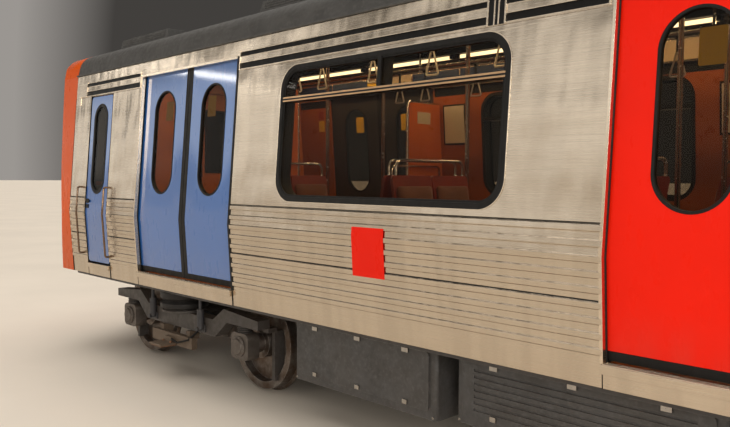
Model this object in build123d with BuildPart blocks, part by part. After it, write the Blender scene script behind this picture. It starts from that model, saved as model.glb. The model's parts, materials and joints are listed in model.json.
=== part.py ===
from build123d import *

import os

# A metro motor car, cab at the -X end, resting on its wheel flanges at Z = 0, in millimetres.
# The left side is -Y. Heights named "..._height" are above the floor unless the name says otherwise.

os.makedirs("parts", exist_ok=True)

# Main sizes of the car
body_length = 16080
body_width = 2789
roof_above_rail = 3523
floor_above_rail = 1000
flange_depth = 28
wheel_radius = 430
track_gauge = 1435
bogie_centres = 11100
wheelbase = 2100
door_pitch = 5010
coupler_reach = 8340

floor_level = flange_depth + floor_above_rail
roof_height = roof_above_rail - floor_above_rail
axle_level = flange_depth + wheel_radius
half_length = body_length / 2

# The side wall's section: widest at the knee, leaning in above and below it
skirt_height = -130
knee_height = 550
panel_top_height = 1820
gutter_height = 2070
foot_lean = 45
head_lean = 120

# Depths in from the widest line: skin, pocket with the door leaf in it, lining
skin_face = 3
skin_back = 40
leaf_face = 52
leaf_back = 84
pane_face = 64
pane_back = 70
lining_face = 95
lining_back = 120
header_back = 150

# Horizontal ribs pressed into the lower panels
rib_count = 9
rib_pitch = 79.5
rib_width = 40
rib_flank = 4
top_rib_height = 713
valley_face = 7

# Sliding doors
doorway_half = 830
doorway_head = 1945
leaf_outer = 845
leaf_gap = 6
leaf_foot = 12
leaf_head = 1985
leaf_window_low = 780
leaf_window_high = 1760
leaf_window_width = 390
leaf_window_centre = 422
sill_depth = 40
sill_lip = 20

# Cab doors, hinged on their rear edge and opening inwards
cab_doorway_front = -6992
cab_doorway_rear = -6464
cab_leaf_front = -6978
cab_leaf_rear = -6474
cab_leaf_face = 6
cab_leaf_back = 38
cab_leaf_foot = 15
cab_leaf_head = 1808
cab_window_low = 760
cab_window_high = 1720
cab_window_width = 320

# Side windows
window_low = 763
window_high = 1790
window_radius = 185
window_bar = 35
transom_height = 1536
glass_face = 14
glass_back = 20

# Floor, underframe and roof
floor_thickness = 40
underframe_depth = 120
sole_bar_inner = 1170
end_wall = 100
header_foot = 1880
header_web = 2000
roof_shoulder_y = 1225
roof_shoulder_height = 2270
roof_shoulder_radius = 200
ceiling_height = 2290
ceiling_half = 700
cove_y = 1050
cove_height = 2200

# Cab front: side view from its foot up, and plan from its corner to its middle; levels are above Z = 0
mask_rear = -7400
mask_wall = 40
mask_foot_x = -7960
chin_level = 1500
brow_x, brow_level = -7800, 3200
forehead_x, forehead_level = -7655, 3440
forehead_rear_level = 3620
mask_corner_x = -7700
mask_middle_x = -8100
mask_corner_radius = 220

underframe_top = floor_level - floor_thickness
underframe_foot = underframe_top - underframe_depth
end_wall_front = half_length - end_wall

# Where things stand along the car
door_places = [("front", -door_pitch), ("middle", 0), ("rear", door_pitch)]
sides = [("left", -1), ("right", 1)]
bogie_places = [("front", -bogie_centres / 2), ("rear", bogie_centres / 2)]

# Side panels between the openings: name, low X, high X
panels = [
    ("cab corner", mask_rear, cab_doorway_front),
    ("front pillar", cab_doorway_rear, -door_pitch - doorway_half),
    ("front bay", -door_pitch + doorway_half, -doorway_half),
    ("rear bay", doorway_half, door_pitch - doorway_half),
    ("end bay", door_pitch + doorway_half, end_wall_front),
]

# Side windows: centre X, outer width
windows = [(-door_pitch / 2, 2120), (door_pitch / 2, 2120), (6960, 1000)]


def wall_y(height, depth=0):
    """Half width of the car at a height above the floor, a depth inside its widest line."""
    if height < knee_height:
        lean = foot_lean * (knee_height - height) / (knee_height - skirt_height)
    else:
        lean = head_lean * (height - knee_height) / (gutter_height - knee_height)
    return body_width / 2 - lean - depth


def wall_points(side, heights, depth):
    """Points up or down one line of the side wall."""
    return [(side * wall_y(height, depth), floor_level + height) for height in heights]


def wall_strip(side, low, high, outer, inner):
    """Corners of the part of the side wall between two heights and two depths."""
    heights = [low, knee_height, high] if low < knee_height < high else [low, high]
    return wall_points(side, heights, outer) + wall_points(side, heights[::-1], inner)


def ribbed_strip(side):
    """Corners of the outer side panel, with the ribs on its lower part."""
    corners = [(skirt_height, valley_face)]
    for rib in range(rib_count):
        top = top_rib_height - (rib_count - 1 - rib) * rib_pitch
        foot = top - rib_width
        corners += [(foot, valley_face), (foot + rib_flank, 0), (top - rib_flank, 0), (top, valley_face)]
    corners += [(top_rib_height + rib_flank, skin_face), (panel_top_height, skin_face)]
    corners += [(panel_top_height, skin_back), (knee_height, skin_back), (skirt_height, skin_back)]
    return [(side * wall_y(height, depth), floor_level + height) for height, depth in corners]


def roof_line(foot_y, foot_height, shoulder_y, shoulder_height, crown_height, radius):
    """Face below a roof curve: upright feet, rounded shoulders and a flat arch."""
    with BuildSketch(Plane.YZ) as area:
        with BuildLine():
            Polyline((-shoulder_y, shoulder_height), (-foot_y, foot_height), (foot_y, foot_height),
                     (shoulder_y, shoulder_height))
            ThreePointArc((shoulder_y, shoulder_height), (0, crown_height), (-shoulder_y, shoulder_height))
        make_face()
        shoulders = area.vertices().group_by(Axis.Y)[-1]
        fillet(shoulders, radius)
    return area.sketch_local


def body_section(depth, roof_depth):
    """Face that fills the car's cross-section inside the given depths."""
    roof_foot = floor_level + gutter_height
    with BuildSketch(Plane.YZ) as area:
        for side in (-1, 1):
            with BuildLine():
                wall = wall_points(side, [skirt_height, knee_height, gutter_height], depth)
                Polyline(*wall, (0, roof_foot), (0, floor_level + skirt_height), close=True)
            make_face()
        add(roof_line(wall_y(gutter_height, depth), roof_foot, roof_shoulder_y - depth,
                      floor_level + roof_shoulder_height - roof_depth, floor_level + roof_height - roof_depth,
                      roof_shoulder_radius))
    return area.sketch


def ceiling_corners():
    """Corners of the ceiling's right half, from its foot up to its flat middle."""
    return [(wall_y(gutter_height, header_back), floor_level + gutter_height), (cove_y, floor_level + cove_height),
            (ceiling_half, floor_level + ceiling_height)]


def mirrored(corners):
    """A symmetrical outline: corners up the right side, and back down the left."""
    return corners + [(-y, z) for y, z in reversed(corners)]


def nose(depth):
    """Solid that fills the cab's front a depth inside its skin: body section, side view and plan."""
    foot_z = floor_level + skirt_height
    with BuildPart() as shape:
        extrude(body_section(depth, depth), amount=-2 * half_length)
        with BuildSketch(Plane.XZ):
            with BuildLine():
                brow = (brow_x + depth, brow_level)
                chin = (-half_length + depth, chin_level)
                rear_top = (mask_rear, forehead_rear_level - depth)
                Polyline(rear_top, (mask_rear, foot_z), (mask_foot_x + depth, foot_z), chin)
                TangentArc(chin, brow, tangent=(0, 1))
                ThreePointArc(brow, (forehead_x + depth, forehead_level - depth), rear_top)
            make_face()
        extrude(amount=body_width, both=True, mode=Mode.INTERSECT)
        with BuildSketch(Plane.XY) as plan:
            with BuildLine():
                side_y = body_width / 2 - depth
                corner_x = mask_corner_x + depth
                Polyline((corner_x, side_y), (mask_rear, side_y), (mask_rear, -side_y), (corner_x, -side_y))
                ThreePointArc((corner_x, -side_y), (mask_middle_x + depth, 0), (corner_x, side_y))
            make_face()
            fillet(plan.vertices().group_by(Axis.X)[0], mask_corner_radius - depth)
        extrude(amount=2 * roof_above_rail, mode=Mode.INTERSECT)
    return shape.part


# Underframe: sole bars, cross members, bolsters with centre pins, headstocks and coupler brackets
sole_bar_front = mask_rear + 10
cross_member_width = 90
cross_members = [(place, cross_member_width) for place in range(-3800, 3801, 760)]
cross_members += [(place, 560) for name, place in bogie_places]
cross_members += [(-7300, 160), (7300, 160), (end_wall_front - cross_member_width / 2, cross_member_width)]
coupler_pivot_x = 7330
coupler_level = flange_depth + 660
coupler_places = [(-coupler_pivot_x, 0), (coupler_pivot_x, 0)]
coupler_bracket = (200, 260)
coupler_bracket_foot = coupler_level + 75
coupler_pin_foot = coupler_level - 100
coupler_pin_radius = 30
pin_radius = 80
pin_depth = 230
fit = 0.05
with BuildPart() as underframe:
    for side_name, side in sides:
        with BuildSketch(Plane.YZ.offset(sole_bar_front)):
            with BuildLine():
                Polyline(*wall_points(side, [-floor_thickness - underframe_depth, -floor_thickness], skin_back),
                         (side * sole_bar_inner, underframe_top), (side * sole_bar_inner, underframe_foot), close=True)
            make_face()
        extrude(amount=end_wall_front - sole_bar_front)
    with BuildSketch(Plane.XY.offset(underframe_foot)):
        for place, width in cross_members:
            with Locations((place, 0)):
                Rectangle(width, 2 * sole_bar_inner)
    extrude(amount=underframe_depth)
    with BuildSketch(Plane.XY.offset(underframe_foot - pin_depth)):
        with Locations(*[(place, 0) for name, place in bogie_places]):
            Circle(pin_radius)
    extrude(amount=pin_depth)
    with BuildSketch(Plane.XY.offset(coupler_bracket_foot)):
        with Locations(*coupler_places):
            Rectangle(*coupler_bracket)
    extrude(amount=underframe_foot - coupler_bracket_foot)
    with BuildSketch(Plane.XY.offset(coupler_pin_foot)):
        with Locations(*coupler_places):
            Circle(coupler_pin_radius)
    extrude(amount=coupler_bracket_foot - coupler_pin_foot)
underframe.part.label = "underframe"
export_step(underframe.part, "parts/underframe.step")

# Floor: one plate from inside the mask to the end wall
floor_nose_x, floor_nose_half = -7640, 1100
with BuildPart() as floor:
    with BuildSketch(Plane.XY.offset(underframe_top)):
        floor_half = wall_y(-floor_thickness, lining_face)
        with BuildLine():
            Polyline((floor_nose_x, -floor_nose_half), (mask_rear, -floor_half), (end_wall_front, -floor_half),
                     (end_wall_front, floor_half), (mask_rear, floor_half), (floor_nose_x, floor_nose_half), close=True)
        make_face()
    extrude(amount=floor_thickness)
floor.part.label = "floor"
export_step(floor.part, "parts/floor.step")

# Roof: arched outside, with gutters and ventilator hoods, and a panelled ceiling inside
gutter_y = 1276
gutter_width, gutter_depth = 24, 16
hood_places = [-6600, -3900, -1300, 1300, 3900, 6600]
hood_y = 730
hood_length, hood_width = 1100, 340
hood_foot_height, hood_top_height = 2330, 2498
hood_taper = 12
with BuildPart() as roof:
    with BuildSketch(Plane.YZ.offset(mask_rear)):
        roof_foot = floor_level + gutter_height
        add(roof_line(wall_y(gutter_height, skin_face), roof_foot, roof_shoulder_y, floor_level + roof_shoulder_height,
                      floor_level + roof_height, roof_shoulder_radius))
        with BuildLine():
            Polyline(*mirrored(ceiling_corners()), close=True)
        make_face(mode=Mode.SUBTRACT)
        with Locations((-gutter_y, roof_foot + gutter_depth / 2), (gutter_y, roof_foot + gutter_depth / 2)):
            Rectangle(gutter_width, gutter_depth)
    extrude(amount=half_length - mask_rear)
    with BuildSketch(Plane.XY.offset(floor_level + hood_foot_height)):
        with Locations(*[(place, side * hood_y) for place in hood_places for name, side in sides]):
            Rectangle(hood_length, hood_width)
    extrude(amount=hood_top_height - hood_foot_height, taper=hood_taper)
roof.part.label = "roof"
export_step(roof.part, "parts/roof.step")

# Side panels: ribbed skins between the openings, with the windows cut
with BuildPart() as side_panels:
    for side_name, side in sides:
        for name, low_x, high_x in panels:
            with BuildSketch(Plane.YZ.offset(low_x)):
                with BuildLine():
                    Polyline(*ribbed_strip(side), close=True)
                make_face()
            extrude(amount=high_x - low_x)
    with BuildSketch(Plane.XZ):
        for centre, width in windows:
            with Locations((centre, floor_level + (window_low + window_high) / 2)):
                RectangleRounded(width, window_high - window_low, window_radius)
    extrude(amount=body_width, both=True, mode=Mode.SUBTRACT)
side_panels.part.label = "side_panels"
export_step(side_panels.part, "parts/side_panels.step")

# Linings: the inner walls, a door pocket away from the skins
with BuildPart() as linings:
    for side_name, side in sides:
        for name, low_x, high_x in panels[1:]:
            with BuildSketch(Plane.YZ.offset(low_x)):
                with BuildLine():
                    Polyline(*wall_strip(side, 0, header_foot, lining_face, lining_back), close=True)
                make_face()
            extrude(amount=high_x - low_x)
    with BuildSketch(Plane.XZ):
        for centre, width in windows:
            with Locations((centre, floor_level + (window_low + window_high) / 2)):
                RectangleRounded(width, window_high - window_low, window_radius)
    extrude(amount=body_width, both=True, mode=Mode.SUBTRACT)
linings.part.label = "linings"
export_step(linings.part, "parts/linings.step")

# Cantrails: channels above doors and windows that the leaves hang in, with slots between the doorways
slot_depth = 12
slots = [(1833, 1882), (1934, 1972)]
slot_spans = [(-7120, -5870), (-4150, -1630), (-1505, -860), (860, 1505), (1630, 4150), (5870, 7910)]
with BuildPart() as cantrails:
    for side_name, side in sides:
        with BuildSketch(Plane.YZ.offset(mask_rear)):
            with BuildLine():
                outline = wall_points(side, [panel_top_height, gutter_height], skin_face)
                outline += wall_points(side, [gutter_height, header_foot], header_back)
                outline += wall_points(side, [header_foot, header_web], lining_face)
                outline += wall_points(side, [header_web, panel_top_height], skin_back)
                Polyline(*outline, close=True)
            make_face()
        extrude(amount=end_wall_front - mask_rear)
    with BuildSketch(Plane.XZ):
        for name, centre in door_places:
            with Locations((centre, floor_level + doorway_head)):
                Rectangle(2 * doorway_half, doorway_head, align=(Align.CENTER, Align.MAX))
    extrude(amount=body_width, both=True, mode=Mode.SUBTRACT)
    for side_name, side in sides:
        for low_x, high_x in slot_spans:
            with BuildSketch(Plane.YZ.offset(low_x)):
                for low, high in slots:
                    with BuildLine():
                        Polyline(*wall_strip(side, low, high, 0, skin_face + slot_depth), close=True)
                    make_face()
            extrude(amount=high_x - low_x, mode=Mode.SUBTRACT)
cantrails.part.label = "cantrails"
export_step(cantrails.part, "parts/cantrails.step")

# Window frames: black rings through the whole wall, with a transom and an upper mullion
with BuildPart() as window_frames:
    for side_name, side in sides:
        for centre, width in windows:
            with BuildSketch(Plane.YZ.offset(centre - width / 2)):
                with BuildLine():
                    Polyline(*wall_strip(side, window_low, window_high, 0, lining_back), close=True)
                make_face()
            extrude(amount=width)
    with BuildSketch(Plane.XZ):
        for centre, width in windows:
            with Locations((centre, floor_level + (window_low + window_high) / 2)):
                RectangleRounded(width, window_high - window_low, window_radius)
                RectangleRounded(width - 2 * window_bar, window_high - window_low - 2 * window_bar,
                                 window_radius - window_bar, mode=Mode.SUBTRACT)
            with Locations((centre, floor_level + transom_height)):
                Rectangle(width - window_bar, window_bar)
            with Locations((centre, floor_level + transom_height)):
                Rectangle(window_bar, window_high - transom_height - window_bar / 2, align=(Align.CENTER, Align.MIN))
    extrude(amount=body_width, both=True, mode=Mode.INTERSECT)
window_frames.part.label = "window_frames"
export_step(window_frames.part, "parts/window_frames.step")

# Side windows: the panes between the frames' bars
with BuildPart() as side_windows:
    for side_name, side in sides:
        for centre, width in windows:
            with BuildSketch(Plane.YZ.offset(centre - width / 2)):
                with BuildLine():
                    Polyline(*wall_strip(side, window_low, window_high, glass_face, glass_back), close=True)
                make_face()
            extrude(amount=width)
    with BuildSketch(Plane.XZ):
        for centre, width in windows:
            with Locations((centre, floor_level + (window_low + window_high) / 2)):
                RectangleRounded(width - 2 * window_bar, window_high - window_low - 2 * window_bar,
                                 window_radius - window_bar)
            with Locations((centre, floor_level + transom_height)):
                Rectangle(width, window_bar, mode=Mode.SUBTRACT)
            with Locations((centre, floor_level + transom_height)):
                Rectangle(window_bar, window_high - transom_height, align=(Align.CENTER, Align.MIN),
                          mode=Mode.SUBTRACT)
    extrude(amount=body_width, both=True, mode=Mode.INTERSECT)
side_windows.part.label = "side_windows"
export_step(side_windows.part, "parts/side_windows.step")

# Door sills: a step with a skirt below it, in each doorway
sills = [(centre - doorway_half, centre + doorway_half) for name, centre in door_places]
sills += [(cab_doorway_front, cab_doorway_rear)]
sill_nose = sill_depth + 10
with BuildPart() as door_sills:
    for side_name, side in sides:
        for low_x, high_x in sills:
            with BuildSketch(Plane.YZ.offset(low_x)):
                with BuildLine():
                    outline = wall_points(side, [skirt_height, -sill_nose], skin_face)
                    outline += wall_points(side, [-sill_nose, 0], -sill_lip)
                    outline += wall_points(side, [0, -sill_depth], lining_face)
                    outline += wall_points(side, [-sill_depth, skirt_height], skin_back)
                    Polyline(*outline, close=True)
                make_face()
            extrude(amount=high_x - low_x)
door_sills.part.label = "door_sills"
export_step(door_sills.part, "parts/door_sills.step")

# Cab front: a moulded mask with openings for the windscreen and the lamps
windscreen_half = 1150
windscreen_low = 880
windscreen_high = 1930
windscreen_radius = 150
lamp_y = 900
lamp_height = 480
lamp_radius = 90
lamp_pitch = 220
front_cut_x, front_cut_depth = -7700, 500
lamp_spots = [(side * (lamp_y - step * lamp_pitch), floor_level + lamp_height) for side in (-1, 1) for step in (0, 1)]
with BuildPart() as cab_front:
    add(nose(0))
    add(nose(mask_wall), mode=Mode.SUBTRACT)
    with BuildSketch(Plane.YZ.offset(front_cut_x)):
        with Locations((0, floor_level + (windscreen_low + windscreen_high) / 2)):
            RectangleRounded(2 * windscreen_half, windscreen_high - windscreen_low, windscreen_radius)
        with Locations(*lamp_spots):
            Circle(lamp_radius)
    extrude(amount=-front_cut_depth, mode=Mode.SUBTRACT)
cab_front.part.label = "cab_front"
export_step(cab_front.part, "parts/cab_front.step")

# Windscreen: one curved pane set into the mask
with BuildPart() as windscreen:
    add(nose(glass_face))
    add(nose(glass_back), mode=Mode.SUBTRACT)
    with BuildSketch(Plane.YZ.offset(front_cut_x)):
        with Locations((0, floor_level + (windscreen_low + windscreen_high) / 2)):
            RectangleRounded(2 * windscreen_half, windscreen_high - windscreen_low, windscreen_radius)
    extrude(amount=-front_cut_depth, mode=Mode.INTERSECT)
windscreen.part.label = "windscreen"
export_step(windscreen.part, "parts/windscreen.step")

# Lamps: a headlamp and a tail lamp each side, their faces following the mask
lamp_face = 4
with BuildPart() as lamps:
    add(nose(lamp_face))
    add(nose(mask_wall), mode=Mode.SUBTRACT)
    with BuildSketch(Plane.YZ.offset(front_cut_x)):
        with Locations(*lamp_spots):
            Circle(lamp_radius)
    extrude(amount=-front_cut_depth, mode=Mode.INTERSECT)
lamps.part.label = "lamps"
export_step(lamps.part, "parts/lamps.step")

# Cab partition, with a doorway in the middle
partition_front = cab_doorway_rear + 6
partition_thickness = 40
end_doorway_half = 330
end_doorway_head = 1900
with BuildPart() as cab_partition:
    with BuildSketch(Plane.YZ.offset(partition_front)):
        with BuildLine():
            outline = wall_points(1, [0, knee_height, header_foot], lining_back)
            outline += wall_points(1, [header_foot], header_back) + ceiling_corners()
            Polyline(*mirrored(outline), close=True)
        make_face()
        with Locations((0, floor_level)):
            Rectangle(2 * end_doorway_half, end_doorway_head, align=(Align.CENTER, Align.MIN), mode=Mode.SUBTRACT)
    extrude(amount=partition_thickness)
cab_partition.part.label = "cab_partition"
export_step(cab_partition.part, "parts/cab_partition.step")

# Rear end wall, with the gangway doorway
with BuildPart() as rear_end:
    with BuildSketch(Plane.YZ.offset(end_wall_front)):
        with BuildLine():
            outline = wall_points(1, [skirt_height, knee_height, gutter_height], skin_face) + ceiling_corners()
            Polyline(*mirrored(outline), close=True)
        make_face()
        with Locations((0, floor_level)):
            Rectangle(2 * end_doorway_half, end_doorway_head, align=(Align.CENTER, Align.MIN), mode=Mode.SUBTRACT)
    extrude(amount=end_wall)
rear_end.part.label = "rear_end"
export_step(rear_end.part, "parts/rear_end.step")

# End doors, on three hinge barrels each: node name, low X of the leaf, X of its hinged face, X of the hinge axis
end_leaf_gap = 10
end_leaf_thickness = 36
end_window_height = 1350
end_window_width, end_window_length = 420, 700
end_window_radius = 60
pane_thickness = 6
hinge_heights = [250, 950, 1650]
hinge_length = 90
hinge_radius = 5
hinge_strap = 28
hinge_inset = 12
hinge_set = 2
end_doors = [
    ("partition_door", partition_front + 2, partition_front + 38, partition_front + 50),
    ("end_door", end_wall_front + 20, end_wall_front + 20, end_wall_front - 10),
]
for node, leaf_x, face_x, axis_x in end_doors:
    with BuildPart() as end_leaf:
        with BuildSketch(Plane.YZ.offset(leaf_x)):
            with Locations((0, floor_level + end_leaf_gap)):
                Rectangle(2 * (end_doorway_half - end_leaf_gap), end_doorway_head - 2 * end_leaf_gap,
                          align=(Align.CENTER, Align.MIN))
            with Locations((0, floor_level + end_window_height)):
                RectangleRounded(end_window_width, end_window_length, end_window_radius, mode=Mode.SUBTRACT)
        extrude(amount=end_leaf_thickness)
        with BuildSketch(Plane.YZ.offset(leaf_x + (end_leaf_thickness - pane_thickness) / 2)):
            with Locations((0, floor_level + end_window_height)):
                RectangleRounded(end_window_width, end_window_length, end_window_radius)
        extrude(amount=pane_thickness)
        inward = 1 if face_x > axis_x else -1
        web_face = axis_x + inward * hinge_set
        for height in hinge_heights:
            with BuildSketch(Plane.XY.offset(floor_level + height - hinge_length / 2)):
                with Locations((axis_x, end_doorway_half)):
                    Circle(hinge_radius)
                with Locations((web_face + inward * hinge_radius / 2, end_doorway_half)):
                    Rectangle(hinge_radius, hinge_strap, align=(Align.CENTER, Align.MAX))
                with Locations(((web_face + face_x) / 2, end_doorway_half - hinge_inset)):
                    Rectangle(abs(face_x - web_face), hinge_strap, align=(Align.CENTER, Align.MAX))
            extrude(amount=hinge_length)
    end_leaf.part.label = node
    export_step(end_leaf.part, f"parts/{node}.step")

# Sliding door leaves, two to a doorway: each slides away from the doorway's middle
for side_name, side in sides:
    for place_name, centre in door_places:
        for end_name, away in (("fore", -1), ("aft", 1)):
            node = f"door_{side_name}_{place_name}_{end_name}"
            low_x = centre + min(away * leaf_gap / 2, away * leaf_outer)
            window_x = centre + away * leaf_window_centre
            window_z = floor_level + (leaf_window_low + leaf_window_high) / 2
            window_length = leaf_window_high - leaf_window_low
            with BuildPart() as pane:
                with BuildSketch(Plane.YZ.offset(low_x)):
                    with BuildLine():
                        Polyline(*wall_strip(side, leaf_foot, leaf_head, pane_face, pane_back), close=True)
                    make_face()
                extrude(amount=leaf_outer - leaf_gap / 2)
                with BuildSketch(Plane.XZ):
                    with Locations((window_x, window_z)):
                        SlotOverall(window_length - 2, leaf_window_width - 2, rotation=90)
                extrude(amount=body_width, both=True, mode=Mode.INTERSECT)
            with BuildPart() as leaf:
                with BuildSketch(Plane.YZ.offset(low_x)):
                    with BuildLine():
                        Polyline(*wall_strip(side, leaf_foot, leaf_head, leaf_face, leaf_back), close=True)
                    make_face()
                extrude(amount=leaf_outer - leaf_gap / 2)
                with BuildSketch(Plane.XZ):
                    with Locations((window_x, window_z)):
                        SlotOverall(window_length, leaf_window_width, rotation=90)
                extrude(amount=body_width, both=True, mode=Mode.SUBTRACT)
                add(pane.part)
            leaf.part.label = node
            export_step(leaf.part, f"parts/{node}.step")

# Cab doors
for side_name, side in sides:
    node = f"cab_door_{side_name}"
    window_x = (cab_leaf_front + cab_leaf_rear) / 2
    window_z = floor_level + (cab_window_low + cab_window_high) / 2
    window_length = cab_window_high - cab_window_low
    with BuildPart() as pane:
        with BuildSketch(Plane.YZ.offset(cab_leaf_front)):
            with BuildLine():
                Polyline(*wall_strip(side, cab_leaf_foot, cab_leaf_head, glass_face, glass_back), close=True)
            make_face()
        extrude(amount=cab_leaf_rear - cab_leaf_front)
        with BuildSketch(Plane.XZ):
            with Locations((window_x, window_z)):
                SlotOverall(window_length - 2, cab_window_width - 2, rotation=90)
        extrude(amount=body_width, both=True, mode=Mode.INTERSECT)
    with BuildPart() as leaf:
        with BuildSketch(Plane.YZ.offset(cab_leaf_front)):
            with BuildLine():
                Polyline(*wall_strip(side, cab_leaf_foot, cab_leaf_head, cab_leaf_face, cab_leaf_back), close=True)
            make_face()
        extrude(amount=cab_leaf_rear - cab_leaf_front)
        with BuildSketch(Plane.XZ):
            with Locations((window_x, window_z)):
                SlotOverall(window_length, cab_window_width, rotation=90)
        extrude(amount=body_width, both=True, mode=Mode.SUBTRACT)
        add(pane.part)
    leaf.part.label = node
    export_step(leaf.part, f"parts/{node}.step")

# Handrails beside the cab doors: flat bars that follow the bend of the wall, on two feet
handrail_places = [-7090, -6440]
handrail_low, handrail_high = 88, 840
handrail_reach, handrail_thickness, handrail_width, handrail_foot = 60, 20, 22, 24
with BuildPart() as cab_handrails:
    for side_name, side in sides:
        for place in handrail_places:
            with BuildSketch(Plane.YZ.offset(place - handrail_width / 2)):
                with BuildLine():
                    outline = wall_points(side, [handrail_low], valley_face)
                    outline += wall_points(side, [handrail_low, knee_height, handrail_high], -handrail_reach)
                    outline += wall_points(side, [handrail_high], skin_face)
                    outline += wall_points(side, [handrail_high - handrail_foot], skin_face)
                    outline += wall_points(side, [handrail_high - handrail_foot, knee_height, handrail_low + handrail_foot],
                                           handrail_thickness - handrail_reach)
                    outline += wall_points(side, [handrail_low + handrail_foot], valley_face)
                    Polyline(*outline, close=True)
                make_face()
            extrude(amount=handrail_width)
cab_handrails.part.label = "cab_handrails"
export_step(cab_handrails.part, "parts/cab_handrails.step")

# Driver's desk: a console across the cab, by its side view as X and height
desk_half = 1050
desk_view = [(-7660, 0), (-7480, 0), (-7480, 620), (-7340, 700), (-7340, 740), (-7480, 790), (-7660, 840)]
with BuildPart() as driver_desk:
    with BuildSketch(Plane.XZ.offset(-desk_half)):
        with BuildLine():
            Polyline(*[(x, floor_level + height) for x, height in desk_view], close=True)
        make_face()
    extrude(amount=2 * desk_half)
driver_desk.part.label = "driver_desk"
export_step(driver_desk.part, "parts/driver_desk.step")

# Seats: rows of two-seat benches in facing groups, with the X of each back and the way it faces
seat_inner = 400
seat_outer = wall_y(0, lining_back) - 15
seat_height = 420
seat_depth = 440
seat_rise = 20
back_top = 960
back_lean = 90
pedestal_depth = 120
shell = 26
bays = [-door_pitch / 2, door_pitch / 2]
seat_rows = [(bay + step, facing) for bay in bays for step, facing in ((-1590, 1), (-20, -1), (20, 1), (1590, -1))]
seat_rows += [(6030, 1), (7900, -1)]


def seat_side_view(back_x, facing):
    """Side view of a bench: back, pan and pedestal, as (X, Z) corners."""
    corners = [
        (0, back_top), (shell, back_top), (shell + back_lean, seat_height), (seat_depth, seat_height + seat_rise),
        (seat_depth + seat_rise, seat_height - seat_rise), (back_lean + pedestal_depth, seat_height - shell),
        (back_lean + pedestal_depth, 0), (back_lean, 0), (back_lean, seat_height - shell),
    ]
    return [(back_x + facing * x, floor_level + z) for x, z in corners]


# Each bench is two shells on one pedestal, cut to its front view
place_middles = [seat_inner + 215, seat_inner + 620]
place_width = 396
place_radius = 30
pedestal_inset = 80
bench_middle = (seat_inner + seat_outer) / 2
with BuildPart() as seat_shells:
    for back_x, facing in seat_rows:
        for low_y in (-seat_outer, seat_inner):
            with BuildSketch(Plane.XZ.offset(-low_y)):
                with BuildLine():
                    Polyline(*seat_side_view(back_x, facing), close=True)
                make_face()
            extrude(amount=-(seat_outer - seat_inner))
    with BuildSketch(Plane.YZ) as front_view:
        for side_name, side in sides:
            with Locations(*[(side * middle, floor_level + back_top) for middle in place_middles]):
                Rectangle(place_width, back_top - seat_height + 2 * shell, align=(Align.CENTER, Align.MAX))
        fillet(front_view.vertices().group_by(Axis.Y)[-1], place_radius)
        with Locations((-bench_middle, floor_level), (bench_middle, floor_level)):
            Rectangle(seat_outer - seat_inner - 2 * pedestal_inset, seat_height - shell, align=(Align.CENTER, Align.MIN))
    extrude(amount=half_length, both=True, mode=Mode.INTERSECT)
seat_shells.part.label = "seat_shells"
export_step(seat_shells.part, "parts/seat_shells.step")

# Seat pads: a cushion and a back pad on each place, a gap off the shell, as (X, Z) corners from the back's foot
pad_width = 380
pad_thickness = 24
pad_gap = 1
pad_low, pad_high = 520, 900
cushion_rear, cushion_front = 150, 430


def back_face(z):
    """X of the back's front face at a height, before the bench is turned to face its way."""
    return shell + back_lean * (back_top - z) / (back_top - seat_height)


def pan_top(x):
    """Height of the pan's top at a distance from the back."""
    return seat_height + seat_rise * (x - shell - back_lean) / (seat_depth - shell - back_lean)


pad_layers = [pad_gap, pad_gap + pad_thickness]
pad_views = [
    [(x, pan_top(x) + layer) for layer, ends in zip(pad_layers, ((cushion_rear, cushion_front),
                                                                 (cushion_front, cushion_rear))) for x in ends],
    [(back_face(z) + layer, z) for layer, ends in zip(pad_layers, ((pad_low, pad_high), (pad_high, pad_low)))
     for z in ends],
]
with BuildPart() as seat_pads:
    for back_x, facing in seat_rows:
        for side_name, side in sides:
            for middle in place_middles:
                with BuildSketch(Plane.XZ.offset(-side * middle - pad_width / 2)):
                    for view in pad_views:
                        with BuildLine():
                            Polyline(*[(back_x + facing * x, floor_level + z) for x, z in view], close=True)
                        make_face()
                extrude(amount=pad_width)
seat_pads.part.label = "seat_pads"
export_step(seat_pads.part, "parts/seat_pads.step")

# Seat hoops: a handhold that stands on the top of each bench's back
hoop_span = 735
hoop_rise = 115
hoop_bar = 22
hoop_radius = 50
hoop_thickness = 20
hoop_feet = [(-bench_middle, floor_level + back_top), (bench_middle, floor_level + back_top)]


def hoop_fill(inset):
    """Face inside a line that lies an inset within the outer edges of the two hoops of a row."""
    with BuildSketch(Plane.YZ) as area:
        with Locations(*hoop_feet):
            Rectangle(hoop_span - 2 * inset, hoop_rise - inset, align=(Align.CENTER, Align.MIN))
        fillet(area.vertices().group_by(Axis.Y)[-1], hoop_radius - inset)
    return area.sketch_local


with BuildPart() as seat_hoops:
    for back_x, facing in seat_rows:
        with BuildSketch(Plane.YZ.offset(back_x + (facing * shell - hoop_thickness) / 2)):
            add(hoop_fill(0))
            add(hoop_fill(hoop_bar), mode=Mode.SUBTRACT)
        extrude(amount=hoop_thickness)
seat_hoops.part.label = "seat_hoops"
export_step(seat_hoops.part, "parts/seat_hoops.step")

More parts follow.
